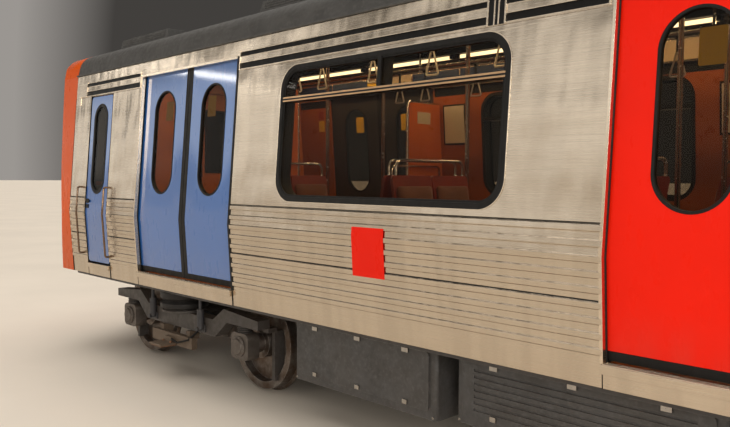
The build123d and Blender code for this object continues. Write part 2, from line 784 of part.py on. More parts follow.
# Screens beside the doorways, from the wall in over part of the benches behind them
screen_thickness = 25
screen_top = 1706
screen_inner = 716
screen_gap = 1
screen_places = [bay + step for bay in bays for step in (-1595 - screen_thickness, 1595)] + [6000]
with BuildPart() as door_screens:
    for low_x in screen_places:
        for side_name, side in sides:
            with BuildSketch(Plane.YZ.offset(low_x)):
                with BuildLine():
                    outline = wall_points(side, [0, knee_height, screen_top], lining_back + screen_gap)
                    outline += [(side * screen_inner, floor_level + height) for height in (screen_top, 0)]
                    Polyline(*outline, close=True)
                make_face()
            extrude(amount=screen_thickness)
door_screens.part.label = "door_screens"
export_step(door_screens.part, "parts/door_screens.step")

# Grab rails: a rail over each edge of the aisle, and poles down to the floor
rail_y = 360
rail_height = 1965
rail_radius = 17
rail_front, rail_rear = -5700, 7200
pole_places = [bay + step for bay in bays for step in (-1608, 0, 1608)] + [6012]
with BuildPart() as grab_rails:
    for side_name, side in sides:
        with BuildSketch(Plane.YZ.offset(rail_front)):
            with Locations((side * rail_y, floor_level + rail_height)):
                Circle(rail_radius)
        extrude(amount=rail_rear - rail_front)
        with BuildSketch(Plane.XY.offset(floor_level)):
            with Locations(*[(place, side * rail_y) for place in pole_places]):
                Circle(rail_radius)
        extrude(amount=ceiling_height)
grab_rails.part.label = "grab_rails"
export_step(grab_rails.part, "parts/grab_rails.step")

# Ceiling lights: a long diffuser under each cove of the ceiling
light_inner, light_outer = 840, 960
light_foot_height = 2110
light_radius = 30
light_front, light_rear = -6200, 7800


def cove_level(y):
    """Height of the ceiling's sloping cove at a distance from the car's middle."""
    share = (y - ceiling_half) / (cove_y - ceiling_half)
    return ceiling_height + share * (cove_height - ceiling_height)


with BuildPart() as ceiling_lights:
    for side_name, side in sides:
        with BuildSketch(Plane.YZ.offset(light_front)) as diffuser:
            corners = [(light_inner, light_foot_height), (light_outer, light_foot_height),
                       (light_outer, cove_level(light_outer)), (light_inner, cove_level(light_inner))]
            with BuildLine():
                Polyline(*[(side * y, floor_level + height) for y, height in corners], close=True)
            make_face()
            fillet(diffuser.vertices().group_by(Axis.Y)[0], light_radius)
        extrude(amount=light_rear - light_front)
ceiling_lights.part.label = "ceiling_lights"
export_step(ceiling_lights.part, "parts/ceiling_lights.step")

# Equipment cases under the floor: X, Y of the middle, length, width, depth, rows of louvres in the lid
cases = [
    (-2900, -650, 1500, 900, 520, 0),
    (-2900, 650, 1500, 900, 460, 6),
    (-1150, -650, 1700, 850, 480, 7),
    (-1150, 700, 1300, 750, 420, 0),
    (900, -650, 1900, 900, 540, 0),
    (800, 700, 1500, 750, 400, 5),
    (2850, -650, 1500, 850, 460, 6),
]
case_radius = 30
lid_margin = 60
lid_rise = 16
louvre_pitch = 42
louvre_height = 18
louvre_depth = 10
with BuildPart() as equipment_cases:
    for x, y, length, width, depth, louvres in cases:
        with BuildSketch(Plane.XY.offset(underframe_foot - depth)):
            with Locations((x, y)):
                RectangleRounded(length, width, case_radius)
        extrude(amount=depth)
        outward = 1 if y > 0 else -1
        lid_face = y + outward * (width / 2 + lid_rise)
        with BuildSketch(Plane.XZ.offset(-lid_face)):
            with Locations((x, underframe_foot - depth / 2)):
                RectangleRounded(length - 2 * lid_margin, depth - 2 * lid_margin, case_radius)
        extrude(amount=outward * 2 * lid_rise)
        if louvres:
            with BuildSketch(Plane.XZ.offset(-lid_face)):
                with Locations((x, underframe_foot - depth / 2)):
                    with GridLocations(0, louvre_pitch, 1, louvres):
                        Rectangle(length - 5 * lid_margin, louvre_height)
            extrude(amount=outward * louvre_depth, mode=Mode.SUBTRACT)
equipment_cases.part.label = "equipment_cases"
export_step(equipment_cases.part, "parts/equipment_cases.step")

# Air tanks: two cylinders with dished ends lying along the car, hung from the underframe by straps
tank_x = 2900
tank_places = [480, 880]
tank_radius = 170
tank_half = 650
tank_level = underframe_foot - tank_radius - 30
tank_view = [(tank_half, 0), (tank_half - 30, 100), (tank_half - 80, tank_radius)]
strap_step = 400
strap_length, strap_width = 50, 100
with BuildPart() as air_tanks:
    for tank_y in tank_places:
        with BuildSketch(Plane.XY.offset(tank_level)):
            with BuildLine():
                corners = tank_view + [(-x, y) for x, y in reversed(tank_view)]
                Polyline(*[(tank_x + x, tank_y + y) for x, y in corners], close=True)
            make_face()
        revolve(axis=Axis((tank_x, tank_y, tank_level), (1, 0, 0)))
        with BuildSketch(Plane.XY.offset(tank_level)):
            with Locations((tank_x - strap_step, tank_y), (tank_x + strap_step, tank_y)):
                Rectangle(strap_length, strap_width)
        extrude(amount=underframe_foot - tank_level)
air_tanks.part.label = "air_tanks"
export_step(air_tanks.part, "parts/air_tanks.step")

# Front coupler: a shank on its pin, and a head whose face has a cone and a matching cup
shank_half = 60
eye_radius = 95
neck_x = -coupler_pivot_x - 600
neck_width = 340
head_face = 60 - coupler_reach
head_width, head_height, head_radius, head_depth = 400, 340, 40, 120
cone_y, cone_radius, cone_rise = 90, 70, 60
cup_radius, cup_depth = 75, 62
cone_taper = 30
with BuildPart() as front_coupler:
    with BuildSketch(Plane.XY.offset(coupler_level - shank_half)):
        with Locations((-coupler_pivot_x, 0)):
            Circle(eye_radius)
            Rectangle(abs(neck_x + coupler_pivot_x), 2 * shank_half, align=(Align.MAX, Align.CENTER))
        with Locations((neck_x, 0)):
            Rectangle(neck_x - head_face, neck_width, align=(Align.MAX, Align.CENTER))
        with Locations((-coupler_pivot_x, 0)):
            Circle(coupler_pin_radius + fit, mode=Mode.SUBTRACT)
    extrude(amount=2 * shank_half)
    with BuildSketch(Plane.YZ.offset(head_face)):
        with Locations((0, coupler_level)):
            RectangleRounded(head_width, head_height, head_radius)
    extrude(amount=head_depth)
    with BuildSketch(Plane.YZ.offset(head_face)):
        with Locations((cone_y, coupler_level)):
            Circle(cone_radius)
    extrude(amount=-cone_rise, taper=cone_taper)
    with BuildSketch(Plane.YZ.offset(head_face)):
        with Locations((-cone_y, coupler_level)):
            Circle(cup_radius)
    extrude(amount=cup_depth, taper=cone_taper, mode=Mode.SUBTRACT)
front_coupler.part.label = "front_coupler"
export_step(front_coupler.part, "parts/front_coupler.step")

# Rear coupler: a bar on its pin, with a bolted flange
bar_start = coupler_pivot_x + 200
bar_radius = 55
fork_length = 260
flange_plate, flange_plate_radius = 40, 120
bolt_circle, bolt_radius, bolt_count = 90, 14, 6
with BuildPart() as rear_coupler:
    with BuildSketch(Plane.XY.offset(coupler_level - shank_half)):
        with Locations((coupler_pivot_x, 0)):
            Circle(eye_radius)
            Rectangle(fork_length, 2 * shank_half, align=(Align.MIN, Align.CENTER))
            Circle(coupler_pin_radius + fit, mode=Mode.SUBTRACT)
    extrude(amount=2 * shank_half)
    with BuildSketch(Plane.YZ.offset(bar_start)):
        with Locations((0, coupler_level)):
            Circle(bar_radius)
    extrude(amount=coupler_reach - bar_start)
    with BuildSketch(Plane.YZ.offset(coupler_reach - flange_plate)):
        with Locations((0, coupler_level)):
            Circle(flange_plate_radius)
            with PolarLocations(bolt_circle, bolt_count):
                Circle(bolt_radius, mode=Mode.SUBTRACT)
    extrude(amount=flange_plate)
rear_coupler.part.label = "rear_coupler"
export_step(rear_coupler.part, "parts/rear_coupler.step")

# Wheelset: half profile along the axle, as distance from its middle and radius
axle_radius = 85
journal_radius = 62
hub_radius = 140
gauge_to_backs = 75
wheel_back = (track_gauge - gauge_to_backs) / 2
rim_width = 135
flange_radius = wheel_radius + flange_depth
half_axle = [
    (0, axle_radius), (650, axle_radius), (650, hub_radius), (wheel_back + 30, hub_radius), (wheel_back + 30, 350),
    (wheel_back, 360), (wheel_back, flange_radius - 10), (wheel_back + 12, flange_radius), (wheel_back + 24, flange_radius),
    (wheel_back + 38, wheel_radius + 3), (wheel_back + rim_width, wheel_radius - 4), (wheel_back + rim_width, 360),
    (wheel_back + 62, 350), (wheel_back + 62, hub_radius), (835, hub_radius), (835, axle_radius), (930, axle_radius),
    (930, journal_radius), (1090, journal_radius),
]

# Bogie frame: cranked side beams outside the wheels, joined by two tubes that carry the motors and the brakes
beam_y = 1000
beam_width = 130
beam_top, beam_foot = 640, 480
transom_x = 230
transom_radius = 85
transom_level = 550
centre_low, centre_thickness = 500, 140
centre_width, motor_bracket_width = 300, 400
motor_face = 400
motor_size = 420
motor_half = 300
motor_level = 520
motor_radius = 80
gear_case_radius = 150
gear_pinion_radius = 110
gear_clearance = 10
gear_case_width = 120
brake_y = 775
brake_width = 60
brake_gap = 38
shoe_thickness = 36
shoe_height = 210
arm_low, arm_high = 410, 530
box_half = 130
box_low = axle_level - 120
box_high = axle_level + 120
box_radius = 50
axle_spring_radius = 60
seat_radius, seat_thickness = 215, 20
spring_slack = 0.3
beam_profile = [
    (-1330, beam_top), (-1330, 720), (-800, 760), (-620, beam_top), (620, beam_top), (800, 760), (1330, 720),
    (1330, beam_top), (850, beam_top), (650, beam_foot), (-650, beam_foot), (-850, beam_top),
]

# Air spring's half profile between its seat and the underframe: radius, share of its height
air_spring = [(0, 0), (190, 0), (236, 0.14), (236, 0.34), (200, 0.46), (236, 0.58), (236, 0.86), (190, 1), (0, 1)]

# Collector beam outside each bogie, hung from the frame, with a shoe for the third rail: half length, reach, thickness
collector_half = 380
collector_face, collector_back = 1150, 1090
collector_low, collector_high = 320, 430
bracket_x, bracket_width, bracket_low = 250, 60, 395
bracket_inner, bracket_outer = 1000, 1110
shoe_foot = 332
shoe_steps = [(110, 1330, 20), (60, 1190, 70)]

for bogie_name, bogie_x in bogie_places:
    axle_places = [bogie_x - wheelbase / 2, bogie_x + wheelbase / 2]
    with BuildPart() as bogie_frame:
        for side_name, side in sides:
            with BuildSketch(Plane.XZ.offset(-side * beam_y - beam_width / 2)):
                with BuildLine():
                    Polyline(*[(bogie_x + x, z) for x, z in beam_profile], close=True)
                make_face()
            extrude(amount=beam_width)
        with BuildSketch(Plane.XZ.offset(-beam_y)):
            with Locations((bogie_x - transom_x, transom_level), (bogie_x + transom_x, transom_level)):
                Circle(transom_radius)
        extrude(amount=2 * beam_y)
        with BuildSketch(Plane.XY.offset(centre_low)):
            with Locations((bogie_x, 0)):
                Rectangle(2 * transom_x, centre_width)
                Circle(pin_radius + fit, mode=Mode.SUBTRACT)
                with Locations(((transom_x + motor_face) / -2, 0), ((transom_x + motor_face) / 2, 0)):
                    Rectangle(motor_face - transom_x, motor_bracket_width)
        extrude(amount=centre_thickness)
        # Round seats for the air springs
        with BuildSketch(Plane.XY.offset(beam_top)):
            with Locations((bogie_x, -beam_y), (bogie_x, beam_y)):
                Circle(seat_radius)
        extrude(amount=seat_thickness)
    bogie_frame.part.label = f"bogie_frame_{bogie_name}"
    export_step(bogie_frame.part, f"parts/bogie_frame_{bogie_name}.step")

    # Tread brakes: an arm from the transom towards each wheel, hollowed to the tube and to the wheel
    with BuildPart() as tread_brakes:
        for side_name, side in sides:
            with BuildSketch(Plane.XZ.offset(-side * brake_y - brake_width / 2)):
                for end, axle_x in zip((-1, 1), axle_places):
                    transom = (bogie_x + end * transom_x, transom_level)
                    shoe_x = axle_x - end * (wheel_radius + brake_gap)
                    with Locations(((transom[0] + shoe_x) / 2, (arm_low + arm_high) / 2)):
                        Rectangle(abs(shoe_x - transom[0]), arm_high - arm_low)
                    with Locations((shoe_x - end * shoe_thickness / 2, axle_level)):
                        Rectangle(shoe_thickness, shoe_height)
                    with Locations((axle_x, axle_level)):
                        Circle(wheel_radius + brake_gap, mode=Mode.SUBTRACT)
                    with Locations(transom):
                        Circle(transom_radius + fit, mode=Mode.SUBTRACT)
            extrude(amount=brake_width)
    tread_brakes.part.label = f"tread_brakes_{bogie_name}"
    export_step(tread_brakes.part, f"parts/tread_brakes_{bogie_name}.step")

    with BuildPart() as collectors:
        for side_name, side in sides:
            with BuildSketch(Plane.YZ.offset(bogie_x - collector_half)):
                with Locations((side * (collector_back + collector_face) / 2, (collector_low + collector_high) / 2)):
                    Rectangle(collector_face - collector_back, collector_high - collector_low)
            extrude(amount=2 * collector_half)
            with BuildSketch(Plane.XY.offset(bracket_low)):
                with Locations(*[(bogie_x + end * bracket_x, side * (bracket_inner + bracket_outer) / 2)
                                 for end in (-1, 1)]):
                    Rectangle(bracket_width, bracket_outer - bracket_inner)
            extrude(amount=beam_foot - bracket_low)
            for half, reach, thickness in shoe_steps:
                with BuildSketch(Plane.XY.offset(shoe_foot)):
                    with Locations((bogie_x, side * (collector_face + reach) / 2)):
                        Rectangle(2 * half, reach - collector_face)
                extrude(amount=thickness)
    collectors.part.label = f"collectors_{bogie_name}"
    export_step(collectors.part, f"parts/collectors_{bogie_name}.step")

    # Axle boxes on the journals, and the springs above them and under the body
    with BuildPart() as axle_boxes:
        for side_name, side in sides:
            with BuildSketch(Plane.XZ.offset(-side * beam_y - beam_width / 2)):
                with Locations(*[(axle_x, axle_level) for axle_x in axle_places]):
                    RectangleRounded(2 * box_half, box_high - box_low, box_radius)
                    Circle(journal_radius + fit, mode=Mode.SUBTRACT)
            extrude(amount=beam_width)
    axle_boxes.part.label = f"axle_boxes_{bogie_name}"
    export_step(axle_boxes.part, f"parts/axle_boxes_{bogie_name}.step")

    with BuildPart() as springs:
        for side_name, side in sides:
            with BuildSketch(Plane.XY.offset(box_high)):
                with Locations(*[(axle_x, side * beam_y) for axle_x in axle_places]):
                    Circle(axle_spring_radius)
            extrude(amount=beam_top - box_high)
            spring_low = beam_top + seat_thickness
            spring_rise = underframe_foot - spring_slack - spring_low
            with BuildSketch(Plane.YZ.offset(bogie_x)):
                with BuildLine():
                    Polyline(*[(side * beam_y + radius, spring_low + share * spring_rise)
                               for radius, share in air_spring], close=True)
                make_face()
            revolve(axis=Axis((bogie_x, side * beam_y, 0), (0, 0, 1)))
    springs.part.label = f"springs_{bogie_name}"
    export_step(springs.part, f"parts/springs_{bogie_name}.step")

    # Motors, each lying across the bogie beside its transom, with a gear case out round the axle
    with BuildPart() as motors:
        for end, axle_x in zip((-1, 1), axle_places):
            motor_x = bogie_x + end * (motor_face + motor_size / 2)
            with BuildSketch(Plane.XZ.offset(-motor_half)):
                with Locations((motor_x, motor_level)):
                    RectangleRounded(motor_size, motor_size, motor_radius)
            extrude(amount=2 * motor_half)
            with BuildSketch(Plane.XZ.offset(-end * motor_half)):
                with Locations((motor_x, motor_level)):
                    Circle(gear_pinion_radius)
                with Locations((axle_x, axle_level)):
                    Circle(gear_case_radius)
                make_hull()
                with Locations((axle_x, axle_level)):
                    Circle(axle_radius + gear_clearance, mode=Mode.SUBTRACT)
            extrude(amount=-end * gear_case_width)
    motors.part.label = f"motors_{bogie_name}"
    export_step(motors.part, f"parts/motors_{bogie_name}.step")

    for axle_name, axle in (("fore", -1), ("aft", 1)):
        axle_x = bogie_x + axle * wheelbase / 2
        node = f"wheelset_{bogie_name}_{axle_name}"
        with BuildPart() as wheelset:
            with BuildSketch(Plane.YZ.offset(axle_x)):
                with BuildLine():
                    end_y = half_axle[-1][0]
                    half = [(y, axle_level + radius) for y, radius in half_axle[1:]] + [(end_y, axle_level)]
                    Polyline(*mirrored(half[::-1]), close=True)
                make_face()
            revolve(axis=Axis((axle_x, 0, axle_level), (0, 1, 0)))
        wheelset.part.label = node
        export_step(wheelset.part, f"parts/{node}.step")
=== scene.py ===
"""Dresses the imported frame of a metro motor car, laid out as a Blender add-on."""

import json
import math

import bmesh
import bpy
from bpy.props import FloatProperty, FloatVectorProperty, PointerProperty
from mathutils import Matrix, Vector


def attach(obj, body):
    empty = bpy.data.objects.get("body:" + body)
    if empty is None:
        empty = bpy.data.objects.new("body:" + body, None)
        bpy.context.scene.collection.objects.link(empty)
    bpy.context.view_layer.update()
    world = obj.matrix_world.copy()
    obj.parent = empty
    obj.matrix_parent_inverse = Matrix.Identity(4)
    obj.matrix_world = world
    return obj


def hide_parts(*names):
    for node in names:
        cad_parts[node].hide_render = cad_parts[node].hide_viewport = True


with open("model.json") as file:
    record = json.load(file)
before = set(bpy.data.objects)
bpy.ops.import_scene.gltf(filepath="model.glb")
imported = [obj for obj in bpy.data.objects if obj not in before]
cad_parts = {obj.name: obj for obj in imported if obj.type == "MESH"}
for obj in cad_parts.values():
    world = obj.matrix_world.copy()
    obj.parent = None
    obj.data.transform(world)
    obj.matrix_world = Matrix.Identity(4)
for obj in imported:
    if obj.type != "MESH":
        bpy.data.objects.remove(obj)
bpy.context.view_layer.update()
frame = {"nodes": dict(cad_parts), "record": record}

bl_info = {
    "name": "Metro Motor Car",
    "version": (1, 0, 0),
    "blender": (4, 5, 0),
    "location": "View3D > Sidebar > Metro Car",
    "description": "Builds the trim, glazing, doors, interior and running gear of a metro motor car",
    "category": "Object",
}

# The car's frame: X along it with the cab at -X, the left side at -Y, Z up from the wheel flanges, in metres
FLOOR = 1.028
HALF_WIDTH = 1.3945
SKIRT, KNEE, GUTTER = -0.13, 0.55, 2.07
FOOT_LEAN, HEAD_LEAN = 0.045, 0.12
DOOR_PITCH = 5.01
DOORWAY_HALF, DOORWAY_HEAD = 0.83, 1.945
CAB_DOORWAY = (-6.992, -6.464)
MASK_REAR, END_WALL, END_FACE = -7.4, 7.94, 8.036
SIDES = (("left", -1), ("right", 1))
WAYS = (-1, 1)
DOORWAYS = (("front", -DOOR_PITCH), ("middle", 0.0), ("rear", DOOR_PITCH))

# Door leaves: depths of the faces, heights, and rounded outlines as middle, size and corner radius
LEAF_FACE, LEAF_MIDDLE, LEAF_BACK, LEAF_END = 0.052, 0.078, 0.084, 0.845
LEAF_FOOT, LEAF_SILL, LEAF_TOP = 0.012, 0.062, 1.985
LEAF_WINDOW = ((0.422, 1.27), (0.39, 0.98), 0.195)
CAB_LEAF = ((-6.726, 0.9115), (0.504, 1.793), 0.03)
CAB_LEAF_WINDOW = ((-6.726, 1.24), (0.32, 0.96), 0.16)

# Side panels between the openings, as spans of X, and the painted shadow lines under the lap seams along them
# as depths and heights
PANELS = (
    (MASK_REAR, CAB_DOORWAY[0]),
    (CAB_DOORWAY[1], -DOOR_PITCH - DOORWAY_HALF),
    (-DOOR_PITCH + DOORWAY_HALF, -DOORWAY_HALF),
    (DOORWAY_HALF, DOOR_PITCH - DOORWAY_HALF),
    (DOOR_PITCH + DOORWAY_HALF, END_WALL),
)
LAP_SHADOW_LINES = (((0.001, 0.0035), (0.717, 0.722)), ((0.005, 0.0072), (0.317, 0.323)))

# Side windows: middle X, outer width
WINDOWS = ((-DOOR_PITCH / 2, 2.12), (DOOR_PITCH / 2, 2.12), (6.96, 1.0))
WINDOW_LOW, WINDOW_HIGH, WINDOW_RADIUS = 0.763, 1.79, 0.185
TRANSOM_LINES = ((1.517, 1.529), (1.540, 1.553))

# Slotted band over the windows: spans of X, heights of both slots and of the band, and its wide post
SLOT_SPANS = ((-7.12, -5.87), (-4.15, -1.63), (-1.505, -0.86), (0.86, 1.505), (1.63, 4.15), (5.87, 7.91))
SLOT_HEIGHTS = ((1.833, 1.882), (1.934, 1.972))
BAND_HEIGHTS, BAND_POST = (1.826, 1.985), (-1.622, -1.513)

# Cab front and roof curves
NOSE_MIDDLE, NOSE_PLAN_RADIUS = -8.1, 2.6308
NOSE_CHIN, NOSE_FOOT_SET, NOSE_VIEW_RADIUS = (-8.04, 1.5), 0.08, 6.1408
WINDSCREEN = ((0.0, 2.433), (2.3, 1.05), 0.15)
DESTINATION_BOX = (0.0, 2.86)
LAMPS = tuple(way * y for way in WAYS for y in (0.9, 0.68))
LAMP_LEVEL = FLOOR + 0.48
ROOF_CROWN, ROOF_RADIUS = 2.523, 3.092
HOODS = (-6.6, -3.9, -1.3, 1.3, 3.9, 6.6)

# Saloon: bay middles, benches as the X of the back and the way it faces, places across
BAYS = (-DOOR_PITCH / 2, DOOR_PITCH / 2)
BAY_BENCHES = ((-1.59, 1), (-0.02, -1), (0.02, 1), (1.59, -1))
BENCHES = tuple((bay + step, way) for bay in BAYS for step, way in BAY_BENCHES) + ((6.03, 1), (7.9, -1))
PLACES = (0.615, 1.02)
BENCH_MIDDLE, HOOP_HALF = 0.8116, 0.3565
BACK_TOP, SEAT_HEIGHT, BACK_LEAN, SHELL = 0.96, 0.42, 0.09, 0.026
SCREENS = tuple(bay + step for bay in BAYS for step in (-1.62, 1.595)) + (6.0,)
CEILING = ((-1.12, 2.075), (-1.05, 2.196), (-0.7, 2.286), (0.7, 2.286), (1.05, 2.196), (1.12, 2.075))
COVE_TONES = ("blue", "blue", "beige", "blue", "blue")
LIGHT_Y, LIGHT_HEIGHT = 0.9, 2.129
STRAP_RAIL = (0.66, 1.985)
STRAP_STEPS = (-1.675, -1.335, -0.715, -0.095, 0.525, 1.145)
GRIP = ((0, 0.175), (0.008, 0.172), (0.014, 0.163), (0.055, 0.02), (0.056, 0.01), (0.052, 0.003), (0.044, 0))
CORNICES = ((-6.4, -5.86), (-4.16, -0.85), (0.85, 4.16), (5.86, 7.93))
PILLAR_SIGNS = ((-6.06, -5.96), (6.12, 6.22))

# Running gear: a bogie's pipes as steps from its middle, the hoses, turned outlines as (distance, radius)
BOGIES = (("front", -5.55), ("rear", 5.55))
AXLE_STEP, AXLE_LEVEL, BEAM_Y, WHEEL_Y = 1.05, 0.458, 1.0, 0.775
COUPLER_LEVEL = 0.688
HOSE = ((-7.42, 1, 0.79), (-7.56, 1.3, 0.76), (-7.75, 1.6, 0.66), (-7.95, 1.6, 0.6), (-8.12, 1.3, 0.57))
UNDERFRAME_FOOT = 0.868
BRAKE_PIPE = ((0.4, 0.8, 0.53), (0.4, 0.86, 0.6), (0.35, 0.92, 0.645), (0.1, 0.925, 0.652))
CONTACT_CABLE = ((0.05, 1.18, 0.385), (0.2, 1.2, 0.37), (0.33, 1.16, 0.41), (0.36, 1.05, 0.5))
AXLE_COVER = ((-0.004, 0), (-0.004, 0.092), (0.012, 0.092), (0.02, 0.074), (0.034, 0.066), (0.034, 0))
LAMP_RIM = ((0, 0), (0, 0.082), (0.012, 0.082), (0.018, 0.072), (0.018, 0))
LAMP_DOME = ((0, 0), (0, 0.066), (0.012, 0.064), (0.024, 0.044), (0.028, 0))
AERIAL = ((0, 0), (0, 0.09), (0.02, 0.085), (0.05, 0.03), (0.055, 0))
LEVER_KNOB = ((0, 0), (0.004, 0.02), (0.02, 0.026), (0.036, 0.02), (0.04, 0))

# Equipment cases: X, Y, length, width, depth
CASES = (
    (-2.9, -0.65, 1.5, 0.9, 0.52),
    (-2.9, 0.65, 1.5, 0.9, 0.46),
    (-1.15, -0.65, 1.7, 0.85, 0.48),
    (-1.15, 0.7, 1.3, 0.75, 0.42),
    (0.9, -0.65, 1.9, 0.9, 0.54),
    (0.8, 0.7, 1.5, 0.75, 0.4),
    (2.85, -0.65, 1.5, 0.85, 0.46),
)
TANK_X, TANK_LEVEL, TANKS = 2.9, 0.668, (0.48, 0.88)

# Sky beside the car, from the horizon up: place on the ramp and colour
WALL_STOPS = (
    (0.0, (0.44, 0.39, 0.33)),
    (0.11, (0.41, 0.365, 0.31)),
    (0.19, (1.0, 0.97, 0.92)),
    (0.39, (0.95, 0.92, 0.87)),
    (0.47, (0.08, 0.07, 0.06)),
    (1.0, (0.06, 0.055, 0.05)),
)

# Studio lamps: name, place, aim, width, height, power, colour
TUBE_COLOUR, TUBE_GLOW_LEVEL = (1.0, 0.74, 0.42), FLOOR + 2.106
STUDIO_LAMPS = (
    ("side strip", (-12.7, -5.6, 4.85), (-6.0, 0, 2.6), 4.4, 0.12, 14, (1.0, 0.97, 0.92)),
    ("key softbox", (7.0, -8.0, 4.5), (-1.0, 0, 1.8), 4.0, 3.0, 460, (1.0, 0.96, 0.90)),
    ("left tubes", (0.8, -LIGHT_Y, TUBE_GLOW_LEVEL), (0.8, -LIGHT_Y, FLOOR), 13.9, 0.02, 95, TUBE_COLOUR),
    ("right tubes", (0.8, LIGHT_Y, TUBE_GLOW_LEVEL), (0.8, LIGHT_Y, FLOOR), 13.9, 0.02, 95, TUBE_COLOUR),
)


def colour_setting(name, description, default):
    """A colour that the user can change."""
    return FloatVectorProperty(name=name, description=description, subtype="COLOR", size=3, default=default)


def length_setting(name, description, default, low, high):
    """A length that the user can change."""
    return FloatProperty(
        name=name, description=description, unit="LENGTH", default=default, min=low, max=high
    )


def angle_setting(name, description, degrees):
    """An angle that the user can change."""
    return FloatProperty(name=name, description=description, subtype="ANGLE", default=math.radians(degrees))


class METRO_PG_paint(bpy.types.PropertyGroup):
    """Colours of the car's finishes."""

    steel: colour_setting("Steel", "Brushed body steel", (0.62, 0.53, 0.42))
    blue: colour_setting("Blue doors", "Paint of the front and cab doors", (0.028, 0.135, 0.44))
    red: colour_setting("Red doors", "Paint of the middle and rear doors", (0.88, 0.014, 0.003))
    mask: colour_setting("Mask", "Paint of the cab's front", (0.74, 0.105, 0.010))
    lining: colour_setting("Lining", "Laminate on the inner walls", (0.34, 0.080, 0.013))
    shell: colour_setting("Seat shell", "Moulded seats", (0.24, 0.022, 0.008))
    cloth: colour_setting("Seat cloth", "Cloth of the seat pads", (0.17, 0.055, 0.025))


class METRO_PG_sizes(bpy.types.PropertyGroup):
    """Sizes of the trim."""

    gasket: length_setting("Gasket", "Width of the rubber round a door window", 0.013, 0.005, 0.04)
    meeting_strip: length_setting("Meeting strip", "Rubber on the leaf's meeting edge", 0.055, 0.02, 0.09)
    edge: length_setting("Edge", "Rounding of pressed edges", 0.003, 0.0005, 0.006)


class METRO_PG_stage(bpy.types.PropertyGroup):
    """Camera and light."""

    place: FloatVectorProperty(
        name="Place", description="Camera position", subtype="TRANSLATION", unit="LENGTH", size=3,
        default=(1.035, -4.829, 1.967),
    )
    yaw: angle_setting("Yaw", "Turn from the car's -X axis", 43.858)
    pitch: angle_setting("Pitch", "Downward tilt", 2.714)
    roll: angle_setting("Roll", "Turn about the view's axis", 0.3)
    lens: FloatProperty(
        name="Lens", description="Focal length in millimetres", default=36.69, min=10, max=200
    )
    light: FloatProperty(name="Light", description="Strength of the studio's sky", default=1.0, min=0, max=10)


# Finishes


def shade(colour, share, lift=0.0):
    """A darker or lighter shade of a colour."""
    return tuple(min(1.0, channel * share + lift) for channel in colour)


class Graph:
    """A node tree under construction."""

    def __init__(self, tree):
        self.tree = tree

    def feed(self, target, value):
        """Links an output to an input, or sets the input's own value."""
        if isinstance(value, bpy.types.NodeSocket):
            self.tree.links.new(value, target)
        else:
            target.default_value = value

    def set(self, node, **sockets):
        """Fills a node's inputs, named with underscores for spaces."""
        for socket, value in sockets.items():
            self.feed(node.inputs[socket.replace("_", " ")], value)
        return node

    def node(self, kind, settings=(), **sockets):
        """A new shader node with its settings and inputs."""
        made = self.tree.nodes.new("ShaderNode" + kind)
        for name, value in dict(settings).items():
            setattr(made, name, value)
        return self.set(made, **sockets)

    def axis(self, vector, name):
        """One axis of a vector."""
        return self.node("SeparateXYZ", Vector=vector).outputs[name]

    def ramp(self, value, low, high, to_low=0.0, to_high=1.0):
        """A value carried from one range to another, clamped."""
        made = self.node("MapRange", Value=value, From_Min=low, From_Max=high, To_Min=to_low, To_Max=to_high)
        return made.outputs[0]

    def maths(self, operation, first, second=0.0):
        """One step of arithmetic, clamped."""
        made = self.node("Math", {"operation": operation, "use_clamp": True})
        self.feed(made.inputs[0], first)
        self.feed(made.inputs[1], second)
        return made.outputs[0]

    def blend(self, amount, first, second):
        """A colour between two colours or colour outputs."""
        mix = self.node("Mix", {"data_type": "RGBA"})
        self.feed(mix.inputs[0], amount)
        for index, colour in ((6, first), (7, second)):
            self.feed(mix.inputs[index], (*colour, 1) if isinstance(colour, tuple) else colour)
        return mix.outputs[2]


